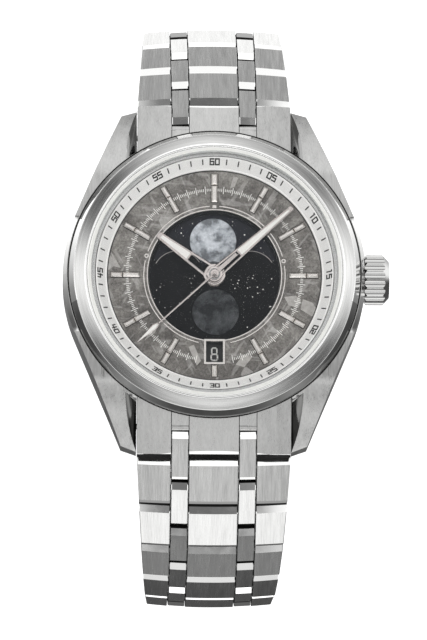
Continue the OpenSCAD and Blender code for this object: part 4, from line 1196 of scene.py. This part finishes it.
    def _smoked_print(self) -> None:
        """Print stars on the smoked disc and outline its two humps."""
        star, line = 0, 1
        bm = bmesh.new()
        z = self.smoked_z + self.ink_lift
        moon = Vector((0, -self.moon_r, z))
        for _ in range(self.smoked_stars):
            angle = self.rng.uniform(*self.smoked_star_span)
            radius = self.rng.uniform(*self.smoked_star_reach)
            spot = turned(angle) @ Vector((0, radius, z))
            if (spot - moon).length >= self.moon_radius + self.smoked_star_clear:
                share = self.right_star_share if spot.x > 0 else self.left_star_share
                self._star(bm, spot, self.rng.choice(self.smoked_star_radii) * share, star)
        inner, outer, high = self.hump_in, self.hump_out, z + self.print_h
        section = [(inner, 0, z), (outer, 0, z), (outer, 0, high), (inner, 0, high)]
        for sign in (1, -1):
            arc = paint(spun_arc(section, False, self.hump_sweep, self.hump_steps), line)
            join(bm, arc, moved(sign * self.moon_r, 0, 0) @ turned(-self.hump_start))
        finishes = [self.finishes.white_ink, self.finishes.line_ink]
        finish_piece(bm, "smoked_print", Body.CASE, finishes)

    def _date_disc(self) -> None:
        """Make the date disc with its thirty-one numerals, the eighth under the window."""
        bm = washer(self.date_in, self.date_out, self.disc_low, self.disc_z)
        for day in range(1, self.date_days + 1):
            style = self.date_style if day < 10 else self.date_two_digits
            angle = 180 - (day - self.date_shown) * FULL_TURN / self.date_days
            place = turned(angle) @ moved(0, self.date_r, self.disc_z + self.ink_lift) @ turned(180)
            join(bm, paint(style.draw(str(day)), 1), place)
        finishes = [self.finishes.date_black, self.finishes.white_ink]
        finish_piece(bm, "date_disc_dressed", Body.DATE, finishes, ["date_disc"])


@dataclass(frozen=True)
class HandShape:
    """Plan of one tapered hand: its window and its lume are spans along it."""

    length: float
    hub_w: float
    tip_w: float
    rail: float
    window: Point
    lume: Point
    low_z: float
    hub_radius: float
    bore: float
    angle: float

    def edge(self, side: int, at: float, inset: float = 0.0) -> Point:
        """A point of one side's edge, or inside it, at a distance from the hand's axis."""
        return side * ((self.hub_w + (self.tip_w - self.hub_w) * at / self.length) / 2 - inset), at

    def field(self, start: float, end: float, inset: float = 0.0) -> list[Point]:
        """The four corners of the hand's field between two distances."""
        return [self.edge(side, at, inset) for side, at in ((-1, start), (1, start), (1, end), (-1, end))]


@dataclass
class Hands:
    """Hour, minute and seconds hands with lume and open windows."""

    finishes: Finishes
    hour: HandShape = HandShape(9.95, 2.2, 1.0, 0.36, (1.8, 4.3), (4.55, 9.35), 8.65, 1.5, 1.2, 306)
    minute: HandShape = HandShape(14.7, 1.8, 0.72, 0.3, (1.55, 4.5), (4.75, 14.1), 9.1, 1.07, 0.8, 48.7)
    thickness: float = 0.2
    rail_inside_hub: float = 0.05
    rail_bevel: float = 0.1
    bridge_bevel: float = 0.05
    bridge_drop: float = 0.01
    lume_inset_share: float = 0.8
    lume_bevel: float = 0.03
    lume_drop: float = 0.03
    tip_share: float = 1 / 3
    tip_bevel: float = 0.06
    tip_drop: float = 0.005
    hub_bevel: Point = (0.08, 0.03)
    hub_rise: float = 0.01
    hub_steps: int = 64
    needle_low: float = 9.55
    needle_high: float = 9.65
    needle_bevel: float = 0.04
    needle: tuple[Point, ...] = ((-0.13, 0.3), (0.13, 0.3), (0.1, 10.9), (-0.1, 10.9))
    leaf: tuple[Point, ...] = (
        (-0.1, 10.7), (0.1, 10.7), (0.42, 11.37), (0.05, 14.88), (-0.05, 14.88), (-0.42, 11.37),
    )
    leaf_lume_w_share: float = 0.68
    leaf_lume_l_share: float = 0.84
    leaf_lume_start: float = 11.0
    leaf_lume_sunk: float = 0.02
    leaf_lume_proud: float = 0.015
    leaf_lume_bevel: float = 0.01
    tail: tuple[Point, ...] = ((-0.31, -0.4), (-0.24, -4.2), (0.24, -4.2), (0.31, -0.4))
    tail_bevel: float = 0.03
    cap: tuple[Point, ...] = ((0.62, 0.0), (0.56, 0.06), (0.25, 0.08), (0.2, 0.17), (0, 0.21))
    cap_steps: int = 48
    arbor_r: float = 0.35
    arbor_low: float = 4.5
    arbor_steps: int = 32
    needle_angle: float = 227.5

    def build(self) -> None:
        """Build the three hands and dress the work behind them."""
        self._hand(self.hour, "hour_hand_dressed", Body.HOUR, "hour_hand")
        self._hand(self.minute, "minute_hand_dressed", Body.MINUTE, "minute_hand")
        self._seconds()
        dress(["hour_wheel"], self.finishes.hand)
        dress(["cannon_pinion"], self.finishes.pin_steel)

    @staticmethod
    def _bar(
        bm: Mesh, points: Sequence[Point], low: float, high: float, bevel: float, index: int = 0
    ) -> None:
        """Add one bevelled bar of a hand.

        Args:
            bm: The hand's mesh.
            points: The bar's outline.
            low: Height of its underside.
            high: Height of its top.
            bevel: Width of the bevel round its top.
            index: Its finish's place in the hand's list.
        """
        part = bmesh.new()
        add_prism(part, points, low, high)
        soften(part, bevel, above(high), 1)
        join(bm, paint(part, index))

    def _hand(self, shape: HandShape, name: str, body: Body, node: str) -> None:
        """Build one frame hand: two rails, a crossbar, a tip, a lume insert and a hub.

        Args:
            shape: The hand's plan.
            name: The piece's name.
            body: The CAD body it rides on.
            node: The CAD node that it stands for.
        """
        bm = bmesh.new()
        low, high = shape.low_z, shape.low_z + self.thickness
        blunt = shape.tip_w * self.tip_share
        end = shape.length - blunt
        root_half = shape.edge(1, 0)[0]
        start = math.sqrt(max(0.0, shape.bore**2 - root_half**2)) + self.rail_inside_hub
        for side in (1, -1):
            outer = [shape.edge(side, at) for at in (start, end)]
            inner = [shape.edge(side, at, shape.rail) for at in (end, start)]
            self._bar(bm, outer + inner, low, high, self.rail_bevel)
        bridge = shape.field(shape.window[1], shape.lume[0])
        self._bar(bm, bridge, low, high - self.bridge_drop, self.bridge_bevel)
        paste = shape.field(*shape.lume, shape.rail * self.lume_inset_share)
        self._bar(bm, paste, low, high - self.lume_drop, self.lume_bevel, 1)
        back, front = shape.lume[1], shape.length
        tip = [shape.edge(-1, back), shape.edge(1, back), shape.edge(1, end)]
        tip += [(blunt, front), (-blunt, front), shape.edge(-1, end)]
        self._bar(bm, tip, low, high - self.tip_drop, self.tip_bevel)
        rim_r, top = shape.hub_radius, high + self.hub_rise
        hub = [(shape.bore, low), (rim_r, low), (rim_r, high - self.hub_bevel[1])]
        hub += [(rim_r - self.hub_bevel[0], top), (shape.bore, top)]
        join(bm, lathe(hub, self.hub_steps))
        bmesh.ops.transform(bm, matrix=turned(shape.angle), verts=bm.verts)
        finish_piece(bm, name, body, [self.finishes.hand, self.finishes.lume], [node])

    def _seconds(self) -> None:
        """Build the needle-thin seconds hand with its counterweight, domed cap and arbor."""
        bm = bmesh.new()
        low, high = self.needle_low, self.needle_high
        self._bar(bm, self.needle, low, high, self.needle_bevel)
        self._bar(bm, self.leaf, low, high, self.needle_bevel)
        leaf_start = self.leaf[0][1]
        paste = [
            (x * self.leaf_lume_w_share, self.leaf_lume_start + (y - leaf_start) * self.leaf_lume_l_share)
            for x, y in self.leaf
        ]
        self._bar(bm, paste, high - self.leaf_lume_sunk, high + self.leaf_lume_proud, self.leaf_lume_bevel, 1)
        self._bar(bm, self.tail, low, high, self.tail_bevel)
        foot = [(0, low), (self.cap[0][0], low)]
        join(bm, lathe(foot + [(r, high + rise) for r, rise in self.cap], self.cap_steps))
        join(bm, washer(0, self.arbor_r, self.arbor_low, low, self.arbor_steps))
        bmesh.ops.transform(bm, matrix=turned(self.needle_angle), verts=bm.verts)
        finishes = [self.finishes.hand, self.finishes.lume]
        finish_piece(bm, "seconds_hand_dressed", Body.SECONDS, finishes, ["seconds_hand"])


@dataclass
class Bracelet:
    """Five-column link rows on their pins, placed from the CAD joints."""

    finishes: Finishes
    pitch: float = 7.3
    row_gap: float = 0.25
    thickness: float = 3.0
    centre_w: float = 7.0
    narrow_w: float = 2.4
    column_gap: float = 0.1
    total_w: float = 21.8
    end_outer_w: float = 2.9
    taper_rows: int = 5
    crown_round_r: float = 85.0
    link_relief: float = 0.4
    bevel_start: float = 0.8
    start_depth: float = 0.7
    bevel_end: float = 0.5
    bevel_depth: float = 0.35
    arc_ease: float = 1.02
    arc_steps: int = 6
    wide_slices: int = 5
    narrow_slices: int = 2
    end_slope: float = 15.0
    edge: float = 0.1
    edge_area: float = 0.3
    top_lean: float = 0.97
    side_lean: float = 0.9
    gap_lean: float = 0.85
    under_lean: float = 0.5
    edge_lean: float = 0.2
    map_lean: float = 0.7
    pin_r: float = 0.49
    pin_segments: int = 32
    pin_reach_share: float = 0.6
    end_top_lean: float = 0.9
    end_rim_lean: float = 0.3
    end_side_depth: float = 0.4
    nose_r: float = 2.0
    nose_top: float = 6.9
    nose_reach: float = 0.66
    nose_drop: float = 0.33
    nose_root: float = 0.05
    nose_steps: int = 8
    crisp_deg: float = 20.0

    def build(self) -> None:
        """Build every row and dress the end links."""
        for side in Side:
            angle = self.end_slope
            for joint in self._joints(side):
                angle -= joint["range_deg"][0]
                self._row(side, int(joint["name"].split("_")[-1]), angle, joint)
        self._end_links()

    @staticmethod
    def _joints(side: Side) -> list[dict]:
        """The row joints of one half, from the case outwards."""
        found = [j for j in frame["joints"] if j["name"].startswith(f"link_{side.value}_")]
        return sorted(found, key=lambda j: int(j["name"].split("_")[-1]))

    @property
    def wrap(self) -> float:
        """Radius at which a link wraps its pin."""
        return self.pitch / 4 - self.row_gap / 2

    @property
    def outer_x(self) -> float:
        """Inner edge of the outer column."""
        return self.centre_w / 2 + 2 * self.column_gap + self.narrow_w

    def _outer_w(self, row: int) -> float:
        """Width of an outer link at the far end of a row."""
        first = self.total_w / 2 - self.outer_x
        return first + (self.end_outer_w - first) * min(1.0, row / self.taper_rows)

    def _profile(self, rear: float, front: float, pivot_front: bool) -> list[Point]:
        """Side view of a link: bevelled above, and round below where it turns on a pin.

        Args:
            rear: Where the link starts along the row.
            front: Where it ends.
            pivot_front: Whether it turns on the pin at its front, and not at its rear.

        Returns:
            Distances along the row with their heights.
        """
        half, wrap, depth = self.thickness / 2, self.wrap, self.bevel_depth
        full = math.asin(min(1.0, half / (wrap * self.arc_ease)))
        arc = [full * i / self.arc_steps for i in range(self.arc_steps + 1)]
        points = [(rear, half - self.start_depth), (rear + self.bevel_start, half)]
        points += [(front - self.bevel_end, half), (front, half - depth)]
        if pivot_front:
            points += [(front - wrap + wrap * math.cos(a), -wrap * math.sin(a)) for a in arc]
            points += [(rear + depth, -half), (rear, -half + depth)]
        else:
            points += [(front, -half + depth), (front - depth, -half)]
            points += [(rear + wrap - wrap * math.cos(a), -wrap * math.sin(a)) for a in reversed(arc)]
        return points

    def _link(self, bm: Mesh, profile: Sequence[Point], low: Point, high: Point, length: Point) -> None:
        """Add one link between two side edges.

        Args:
            bm: The row's mesh.
            profile: Side view, heights over the distance along the row.
            low: Left edge at the start and at the end of the row.
            high: Right edge at the start and at the end of the row.
            length: Distances at which those edges are given.
        """
        brushed, polished, gap = 0, 1, 3
        part = bmesh.new()
        face = part.faces.new([part.verts.new((0, y, z)) for y, z in profile])
        extrude(part, face, Vector((1, 0, 0)))
        slices = self.wide_slices if high[0] - low[0] > self.thickness else self.narrow_slices
        for cut in range(1, slices):
            split_across(part, cut / slices)
        for v in part.verts:
            share = (v.co.y - length[0]) / (length[1] - length[0])
            left = low[0] + (low[1] - low[0]) * share
            right = high[0] + (high[1] - high[0]) * share
            x = left + (right - left) * v.co.x
            drop = self.crown_round_r - math.sqrt(self.crown_round_r**2 - x * x)
            v.co = Vector((x, v.co.y, v.co.z - (drop if v.co.z > 0 else 0)))
        for f in part.faces:
            side = abs(f.normal.x) > self.side_lean
            brushed_here = f.normal.z > self.top_lean or side or f.normal.z < -self.under_lean
            f.material_index = brushed if brushed_here else polished
            between = side and abs(f.calc_center_median().x) < self.outer_x + self.column_gap
            # Painted shade: walls that face along the row and sides between the columns take the near black
            # gap finish
            if abs(f.normal.y) > self.gap_lean or between:
                f.material_index = gap
        part.normal_update()
        soften(part, self.edge, self._upper_side_edge)
        for f in part.faces:
            leaning = self.edge_lean < abs(f.normal.x) < self.side_lean
            if f.calc_area() < self.edge_area and f.material_index == brushed and leaning:
                f.material_index = polished
        join(bm, part)

    def _upper_side_edge(self, edge: Edge) -> bool:
        """Whether an edge lies on the upper half, between a side and another face."""
        one, other = (abs(face.normal.x) > self.side_lean for face in edge.link_faces)
        return all(v.co.z > 0 for v in edge.verts) and one != other

    def _row(self, side: Side, row: int, angle: float, joint: dict) -> None:
        """Build one row: three wide links, two narrow ones and two pins.

        Args:
            side: The half of the bracelet.
            row: The row's number from the case outwards.
            angle: How far the row slopes down.
            joint: The CAD joint that carries it.
        """
        look = self.finishes
        finishes = [look.link_brushed, look.polished, look.pin_steel, look.gap_steel]
        pin_index = 2
        rear = self.pitch / 4 + self.row_gap / 2 + self.link_relief
        wide_reach = (rear, self.pitch + self.wrap)
        narrow_reach = (-self.wrap, self.pitch / 2 + self.wrap)
        wide = self._profile(*wide_reach, True)
        narrow = self._profile(*narrow_reach, False)
        x0, inner = self.outer_x, self.centre_w / 2
        w0, w1 = self._outer_w(row - 1), self._outer_w(row)
        bm = bmesh.new()
        self._link(bm, wide, (-inner, -inner), (inner, inner), wide_reach)
        self._link(bm, wide, (x0, x0), (x0 + w0, x0 + w1), wide_reach)
        self._link(bm, wide, (-x0 - w0, -x0 - w1), (-x0, -x0), wide_reach)
        a = inner + self.column_gap
        b = a + self.narrow_w
        self._link(bm, narrow, (a, a), (b, b), narrow_reach)
        self._link(bm, narrow, (-b, -b), (-a, -a), narrow_reach)
        self._grain(bm)
        for y in (self.pitch / 2, self.pitch):
            pin = bmesh.new()
            reach = 2 * (x0 + self.pin_reach_share * w1)
            size = {"radius1": self.pin_r, "radius2": self.pin_r, "depth": reach}
            place = moved(0, y, 0) @ Matrix.Rotation(math.pi / 2, 4, "Y")
            bmesh.ops.create_cone(pin, cap_ends=True, segments=self.pin_segments, matrix=place, **size)
            join(bm, paint(pin, pin_index))
        x, y, z = (c / MM for c in joint["pos_m"])
        place = moved(0, abs(y), z) @ Matrix.Rotation(-math.radians(angle), 4, "X")
        if side is Side.SIX:
            place = Matrix.Scale(-1, 4, (0, 1, 0)) @ place
        bmesh.ops.transform(bm, matrix=place, verts=bm.verts)
        if side is Side.SIX:
            bmesh.ops.reverse_faces(bm, faces=bm.faces)
        node = f"row_{side.value}_{row}"
        finish_piece(bm, f"{node}_dressed", joint["child"], finishes, [node], self.crisp_deg)

    def _grain(self, bm: Mesh) -> None:
        """Lay the grain map along the row before it is put in place.

        Args:
            bm: The row's mesh.
        """
        layer = bm.loops.layers.uv.new("grain")
        for face in bm.faces:
            for loop in face.loops:
                co = loop.vert.co
                loop[layer].uv = (co.x if abs(face.normal.x) < self.map_lean else co.z, co.y)

    def _noses(self, bm: Mesh, side: Side) -> None:
        """Fill an end link's narrow slots with rounded noses that keep clear of the turning first row.

        Args:
            bm: The end link's mesh.
            side: The half of the bracelet.
        """
        pin_y, pin_z = (abs(c) / MM for c in self._joints(side)[0]["pos_m"][1:])
        wall = pin_y - self.pitch / 4 - self.row_gap / 2
        start, end = (math.acos((pin_y - wall - reach) / self.nose_r) for reach in (self.nose_reach, 0))
        shares = [i / self.nose_steps for i in range(self.nose_steps + 1)]
        points = [(wall - self.nose_root, self.nose_top)]
        for share in shares:
            turn = math.pi / 2 * share
            height = self.nose_top - self.nose_drop * (1 - math.cos(turn))
            points.append((wall + self.nose_reach * math.sin(turn), height))
        for share in shares:
            turn = start + (end - start) * share
            points.append((pin_y - self.nose_r * math.cos(turn), pin_z + self.nose_r * math.sin(turn)))
        points.append((wall - self.nose_root, points[-1][1]))
        outward = -1 if side is Side.SIX else 1
        inner = self.centre_w / 2 + self.column_gap
        top, gap = 0, 2
        for x in (inner, -inner - self.narrow_w):
            part = bmesh.new()
            face = part.faces.new([part.verts.new((x, outward * y, z)) for y, z in points])
            extrude(part, face, Vector((self.narrow_w, 0, 0)))
            for f in part.faces:
                # Painted shade: the noses' sides take the near black gap finish
                f.material_index = gap if abs(f.normal.x) > self.side_lean else top
            join(bm, part)

    def _end_links(self) -> None:
        """Rework the end links: merged and brushed, with polished rims, seams and steep faces painted near
        black as shade, painted shade on the outer sides, and rounded noses.
        """
        look = self.finishes
        finishes = [look.case_brushed, look.polished, look.gap_steel, look.lug_facet]
        top, rim, gap, shaded = range(len(finishes))
        half_gap = self.column_gap / 2
        seams = [self.centre_w / 2 + half_gap, self.outer_x - half_gap]
        for side in (Side.TWELVE, Side.SIX):
            node = f"end_link_{side.value}"
            bm = merged(node)
            for sign in (1, -1):
                for seam in seams:
                    split_across(bm, sign * (seam - half_gap))
                    split_across(bm, sign * (seam + half_gap))
            for face in bm.faces:
                lean, across = face.normal.z, abs(face.calc_center_median().x)
                # Painted shade: steep faces and the seams between columns take the near black gap finish, and
                # the outer sides the dark facet finish
                if lean > self.end_top_lean:
                    face.material_index = top
                else:
                    face.material_index = rim if lean > self.end_rim_lean else gap
                if any(abs(across - seam) < half_gap for seam in seams):
                    face.material_index = gap
                if abs(face.normal.x) > self.side_lean and across > self.total_w / 2 - self.end_side_depth:
                    face.material_index = shaded
            self._noses(bm, side)
            finish_piece(bm, f"{node}_dressed", Body.CASE, finishes, [node], self.crisp_deg)


@dataclass
class ClaspAndWorks:
    """Folding clasp and the movement behind the case back."""

    finishes: Finishes

    def build(self) -> None:
        """Dress the clasp and the movement."""
        dress(["clasp_cover"], self.finishes.case_brushed)
        folding = ["clasp_blade_outer", "clasp_blade_inner", "button_left", "button_right"]
        dress(folding, self.finishes.polished)
        dress(["main_plate", "train_bridge", "balance_cock", "rotor"], self.finishes.plate)
        dress(["movement_ring"], self.finishes.pin_steel)
        dress(["bridge_screws"], self.finishes.blued)
        dress(["balance_wheel"], self.finishes.brass)


@dataclass(frozen=True)
class Lamp:
    """A square soft lamp that points at the watch, with its place and size in metres."""

    name: str
    place: tuple[float, float, float]
    size: float
    watts: float


@dataclass
class Studio:
    """Pale floor, soft light and a long lens at the photograph's angle.

    The tables of light give a level at each place of a range: north and south by how high a reflection
    looks, fans by its compass direction, and floor_levels by its place on the floor.
    """

    tilt_deg: float = 12.0
    side_deg: float = 1.4
    distance_mm: float = 1000.0
    pixels_per_mm: float = 7.07
    frame_px: tuple[int, int] = (427, 640)
    bezel_px: Point = (214.9, 271.4)
    bezel_z: float = 10.8
    sensor_mm: float = 36.0
    far_clip_m: float = 20.0
    floor_z: float = -44.6
    floor_half_m: float = 4.0
    floor_field_mm: float = 300.0
    floor_glow: float = 0.72
    room_grey: float = 0.62
    blend_y: float = 0.25
    fan_rise: Point = (0.12, 0.3)
    fan_fall: Point = (0.92, 0.75)
    gain: float = 2.6
    north: tuple[Point, ...] = (
        (0.0, 0.57), (0.14, 0.64), (0.3, 1.0), (0.45, 1.15), (0.66, 1.25), (0.74, 1.3),
        (0.84, 1.3), (0.95, 1.1), (0.978, 1.1), (0.99, 0.25), (1.0, 0.15),
    )
    south: tuple[Point, ...] = (
        (0.0, 1.2), (0.12, 1.85), (0.28, 1.85), (0.5, 0.7), (0.65, 0.72), (0.74, 1.4), (0.82, 1.1),
        (0.85, 0.25), (0.89, 0.25), (0.915, 1.4), (0.95, 1.75), (0.978, 1.3), (0.99, 0.25), (1.0, 0.15),
    )
    fan_gain: float = 1.6
    fans: tuple[Point, ...] = (
        (0.0, 1.3), (0.03, 0.9), (0.06, 0.3), (0.1, 0.2), (0.14, 0.45), (0.19, 1.05),
        (0.25, 1.25), (0.31, 1.05), (0.36, 0.45), (0.4, 0.14), (0.44, 0.14), (0.48, 0.8),
        (0.52, 1.5), (0.56, 1.5), (0.6, 0.8), (0.64, 0.3), (0.69, 0.8), (0.75, 1.35),
        (0.81, 0.8), (0.85, 0.12), (0.9, 0.2), (0.94, 1.3), (0.97, 1.5), (1.0, 1.3),
    )
    floor_levels: tuple[Point, ...] = (
        (0.0, 0.5), (0.13, 0.12), (0.2, 0.1), (0.25, 0.3), (0.29, 0.5), (0.34, 0.3), (0.39, 0.1), (0.47, 0.1),
        (0.52, 0.3), (0.57, 0.9), (0.62, 1.7), (0.68, 1.75), (0.75, 1.0), (0.85, 0.5), (1.0, 0.5),
    )
    lamps: tuple[Lamp, ...] = (
        Lamp("lamp_left", (-0.55, 0.75, 1.0), 0.5, 6.0),
        Lamp("lamp_right", (0.6, 0.1, 1.0), 0.9, 3.0),
        Lamp("lamp_front", (0.1, -1.0, 0.7), 0.8, 6.0),
    )

    def build(self) -> None:
        """Set the camera, the floor, the lamps and the world."""
        self._camera()
        self._floor()
        for lamp in self.lamps:
            self._hang(lamp)
        self._world()
        bpy.context.scene.view_settings.view_transform = "Standard"

    def _camera(self) -> None:
        """Aim a long lens so that the bezel falls where the photograph has it."""
        lean = (-math.tan(math.radians(self.side_deg)), -math.tan(math.radians(self.tilt_deg)), 1)
        away = Vector(lean).normalized()
        right = Vector((0, 1, 0)).cross(away).normalized()
        up = away.cross(right)
        off_x = (self.bezel_px[0] - self.frame_px[0] / 2) / self.pixels_per_mm
        off_y = (self.frame_px[1] / 2 - self.bezel_px[1]) / self.pixels_per_mm
        target = Vector((0, 0, self.bezel_z)) - right * off_x - up * off_y
        data = bpy.data.cameras.new("camera")
        data.sensor_fit = "VERTICAL"
        data.sensor_height = self.sensor_mm
        data.lens = self.pixels_per_mm * self.distance_mm * self.sensor_mm / self.frame_px[1]
        data.clip_end = self.far_clip_m
        camera = bpy.data.objects.new("camera", data)
        place = Matrix.Translation((target + away * self.distance_mm) * MM)
        camera.matrix_world = place @ Matrix((right, up, away)).transposed().to_4x4()
        bpy.context.scene.collection.objects.link(camera)
        bpy.context.scene.camera = camera

    def _floor(self) -> None:
        """Lay a wide pale floor, white to the camera with the object's soft shadow kept."""
        bm = bmesh.new()
        bmesh.ops.create_grid(bm, x_segments=2, y_segments=2, size=self.floor_half_m)
        bmesh.ops.translate(bm, verts=bm.verts, vec=(0, 0, self.floor_z * MM))
        mesh = bpy.data.meshes.new("floor")
        bm.to_mesh(mesh)
        bm.free()
        floor = bpy.data.objects.new("floor", mesh)
        bpy.context.scene.collection.objects.link(floor)
        mesh.materials.append(self._floor_paper())

    def _floor_paper(self) -> Material:
        """Make the floor's white paper, which shows metal dark and light fields.

        Returns:
            A paper that glows evenly to the camera and by its levels to reflections.
        """
        material = bpy.data.materials.new("floor_pale")
        material.use_nodes = True
        tree = material.node_tree
        tree.nodes.clear()
        ray = add_node(tree, "LightPath")
        place = add_node(tree, "TexCoord")
        parts = add_node(tree, "SeparateXYZ", {0: place.outputs["Object"]})
        reach = self.floor_field_mm * MM
        along = add_node(tree, "MapRange", {"Value": parts.outputs[1], "From Min": -reach, "From Max": reach})
        light = light_level(tree, along.outputs[0], self.floor_levels, self.gain)
        reflected = ray.outputs["Is Glossy Ray"]
        glossy = add_node(tree, "Math", {0: reflected, 1: light}, operation="MULTIPLY")
        seen = self._plainly_seen(tree, ray)
        camera_part = add_node(tree, "Math", {0: seen, 1: self.floor_glow}, operation="MULTIPLY")
        level = add_node(tree, "Math", {0: camera_part.outputs[0], 1: glossy.outputs[0]}, operation="ADD")
        glow = add_node(tree, "Emission", {"Color": linear("ffffff"), "Strength": level.outputs[0]})
        pale = add_node(tree, "BsdfDiffuse", {"Color": linear("d8d8d8")})
        dark = add_node(tree, "BsdfDiffuse", {"Color": linear("202020")})
        body = add_node(tree, "MixShader", {0: reflected, 1: pale.outputs[0], 2: dark.outputs[0]})
        both = add_node(tree, "AddShader", {0: glow.outputs[0], 1: body.outputs[0]})
        add_node(tree, "OutputMaterial", {"Surface": both.outputs[0]})
        return material

    @staticmethod
    def _plainly_seen(tree: Tree, ray: Node) -> Socket:
        """Whether a ray comes from the camera, straight or through the crystal."""
        rays = {0: ray.outputs["Is Camera Ray"], 1: ray.outputs["Is Transmission Ray"]}
        return add_node(tree, "Math", rays, operation="MAXIMUM").outputs[0]

    @staticmethod
    def _hang(lamp: Lamp) -> None:
        """Hang one large soft lamp, kept out of the reflections.

        Args:
            lamp: The lamp, with its place, size and power.
        """
        data = bpy.data.lights.new(lamp.name, "AREA")
        data.size = lamp.size
        data.energy = lamp.watts
        hung = bpy.data.objects.new(lamp.name, data)
        hung.location = lamp.place
        hung.rotation_euler = Vector(lamp.place).to_track_quat("Z", "Y").to_euler()
        hung.visible_glossy = False
        bpy.context.scene.collection.objects.link(hung)

    def _world(self) -> None:
        """Light the room softly, and show metal white walls with darker corners between them."""
        world = bpy.data.worlds.new("studio")
        bpy.context.scene.world = world
        world.use_nodes = True
        tree = world.node_tree
        tree.nodes.clear()
        smooth = {"interpolation_type": "SMOOTHSTEP"}
        ray = add_node(tree, "LightPath")
        coords = add_node(tree, "TexCoord")
        east, northward, up = add_node(tree, "SeparateXYZ", {0: coords.outputs["Generated"]}).outputs
        north = light_level(tree, up, self.north, self.gain)
        south = light_level(tree, up, self.south, self.gain)
        ends = {"From Min": -self.blend_y, "From Max": self.blend_y}
        side = add_node(tree, "MapRange", {"Value": northward, **ends}, **smooth)
        halves = {"Factor": side.outputs[0], COLOUR_A: south, COLOUR_B: north}
        height = add_node(tree, "Mix", halves, data_type="RGBA")
        turn = add_node(tree, "Math", {0: northward, 1: east}, operation="ARCTAN2")
        circle = {"From Min": -math.pi, "From Max": math.pi}
        share = add_node(tree, "MapRange", {"Value": turn.outputs[0], **circle})
        fans = light_level(tree, share.outputs[0], self.fans, self.fan_gain)
        rise, fall = ({"Value": up, "From Min": a, "From Max": b} for a, b in (self.fan_rise, self.fan_fall))
        low = add_node(tree, "MapRange", rise, **smooth)
        high = add_node(tree, "MapRange", fall, **smooth)
        within = add_node(tree, "Math", {0: low.outputs[0], 1: high.outputs[0]}, operation="MULTIPLY")
        fanned = {"Factor": within.outputs[0], COLOUR_A: height.outputs[COLOUR_OUT], COLOUR_B: fans}
        shown = add_node(tree, "Mix", fanned, data_type="RGBA", blend_type="MULTIPLY")
        room = (self.room_grey,) * 3 + (1.0,)
        plain = {"Factor": self._plainly_seen(tree, ray), COLOUR_A: room, COLOUR_B: linear("ffffff")}
        soft = add_node(tree, "Mix", plain, data_type="RGBA").outputs[COLOUR_OUT]
        mirrored = {COLOUR_A: soft, COLOUR_B: shown.outputs[COLOUR_OUT]}
        colour = add_node(tree, "Mix", {"Factor": ray.outputs["Is Glossy Ray"], **mirrored}, data_type="RGBA")
        sky = add_node(tree, "Background", {"Color": colour.outputs[COLOUR_OUT], "Strength": 1.0})
        add_node(tree, "OutputWorld", {"Surface": sky.outputs[0]})


def main() -> None:
    """Build the studio and every piece of the watch, in order."""
    logging.basicConfig(level=logging.INFO, format="%(message)s")
    Studio().build()
    finishes = Finishes()
    for part in (CaseShell, DialFace, Hands, Bracelet, ClaspAndWorks):
        part(finishes).build()


if __name__ == "__main__":
    main()
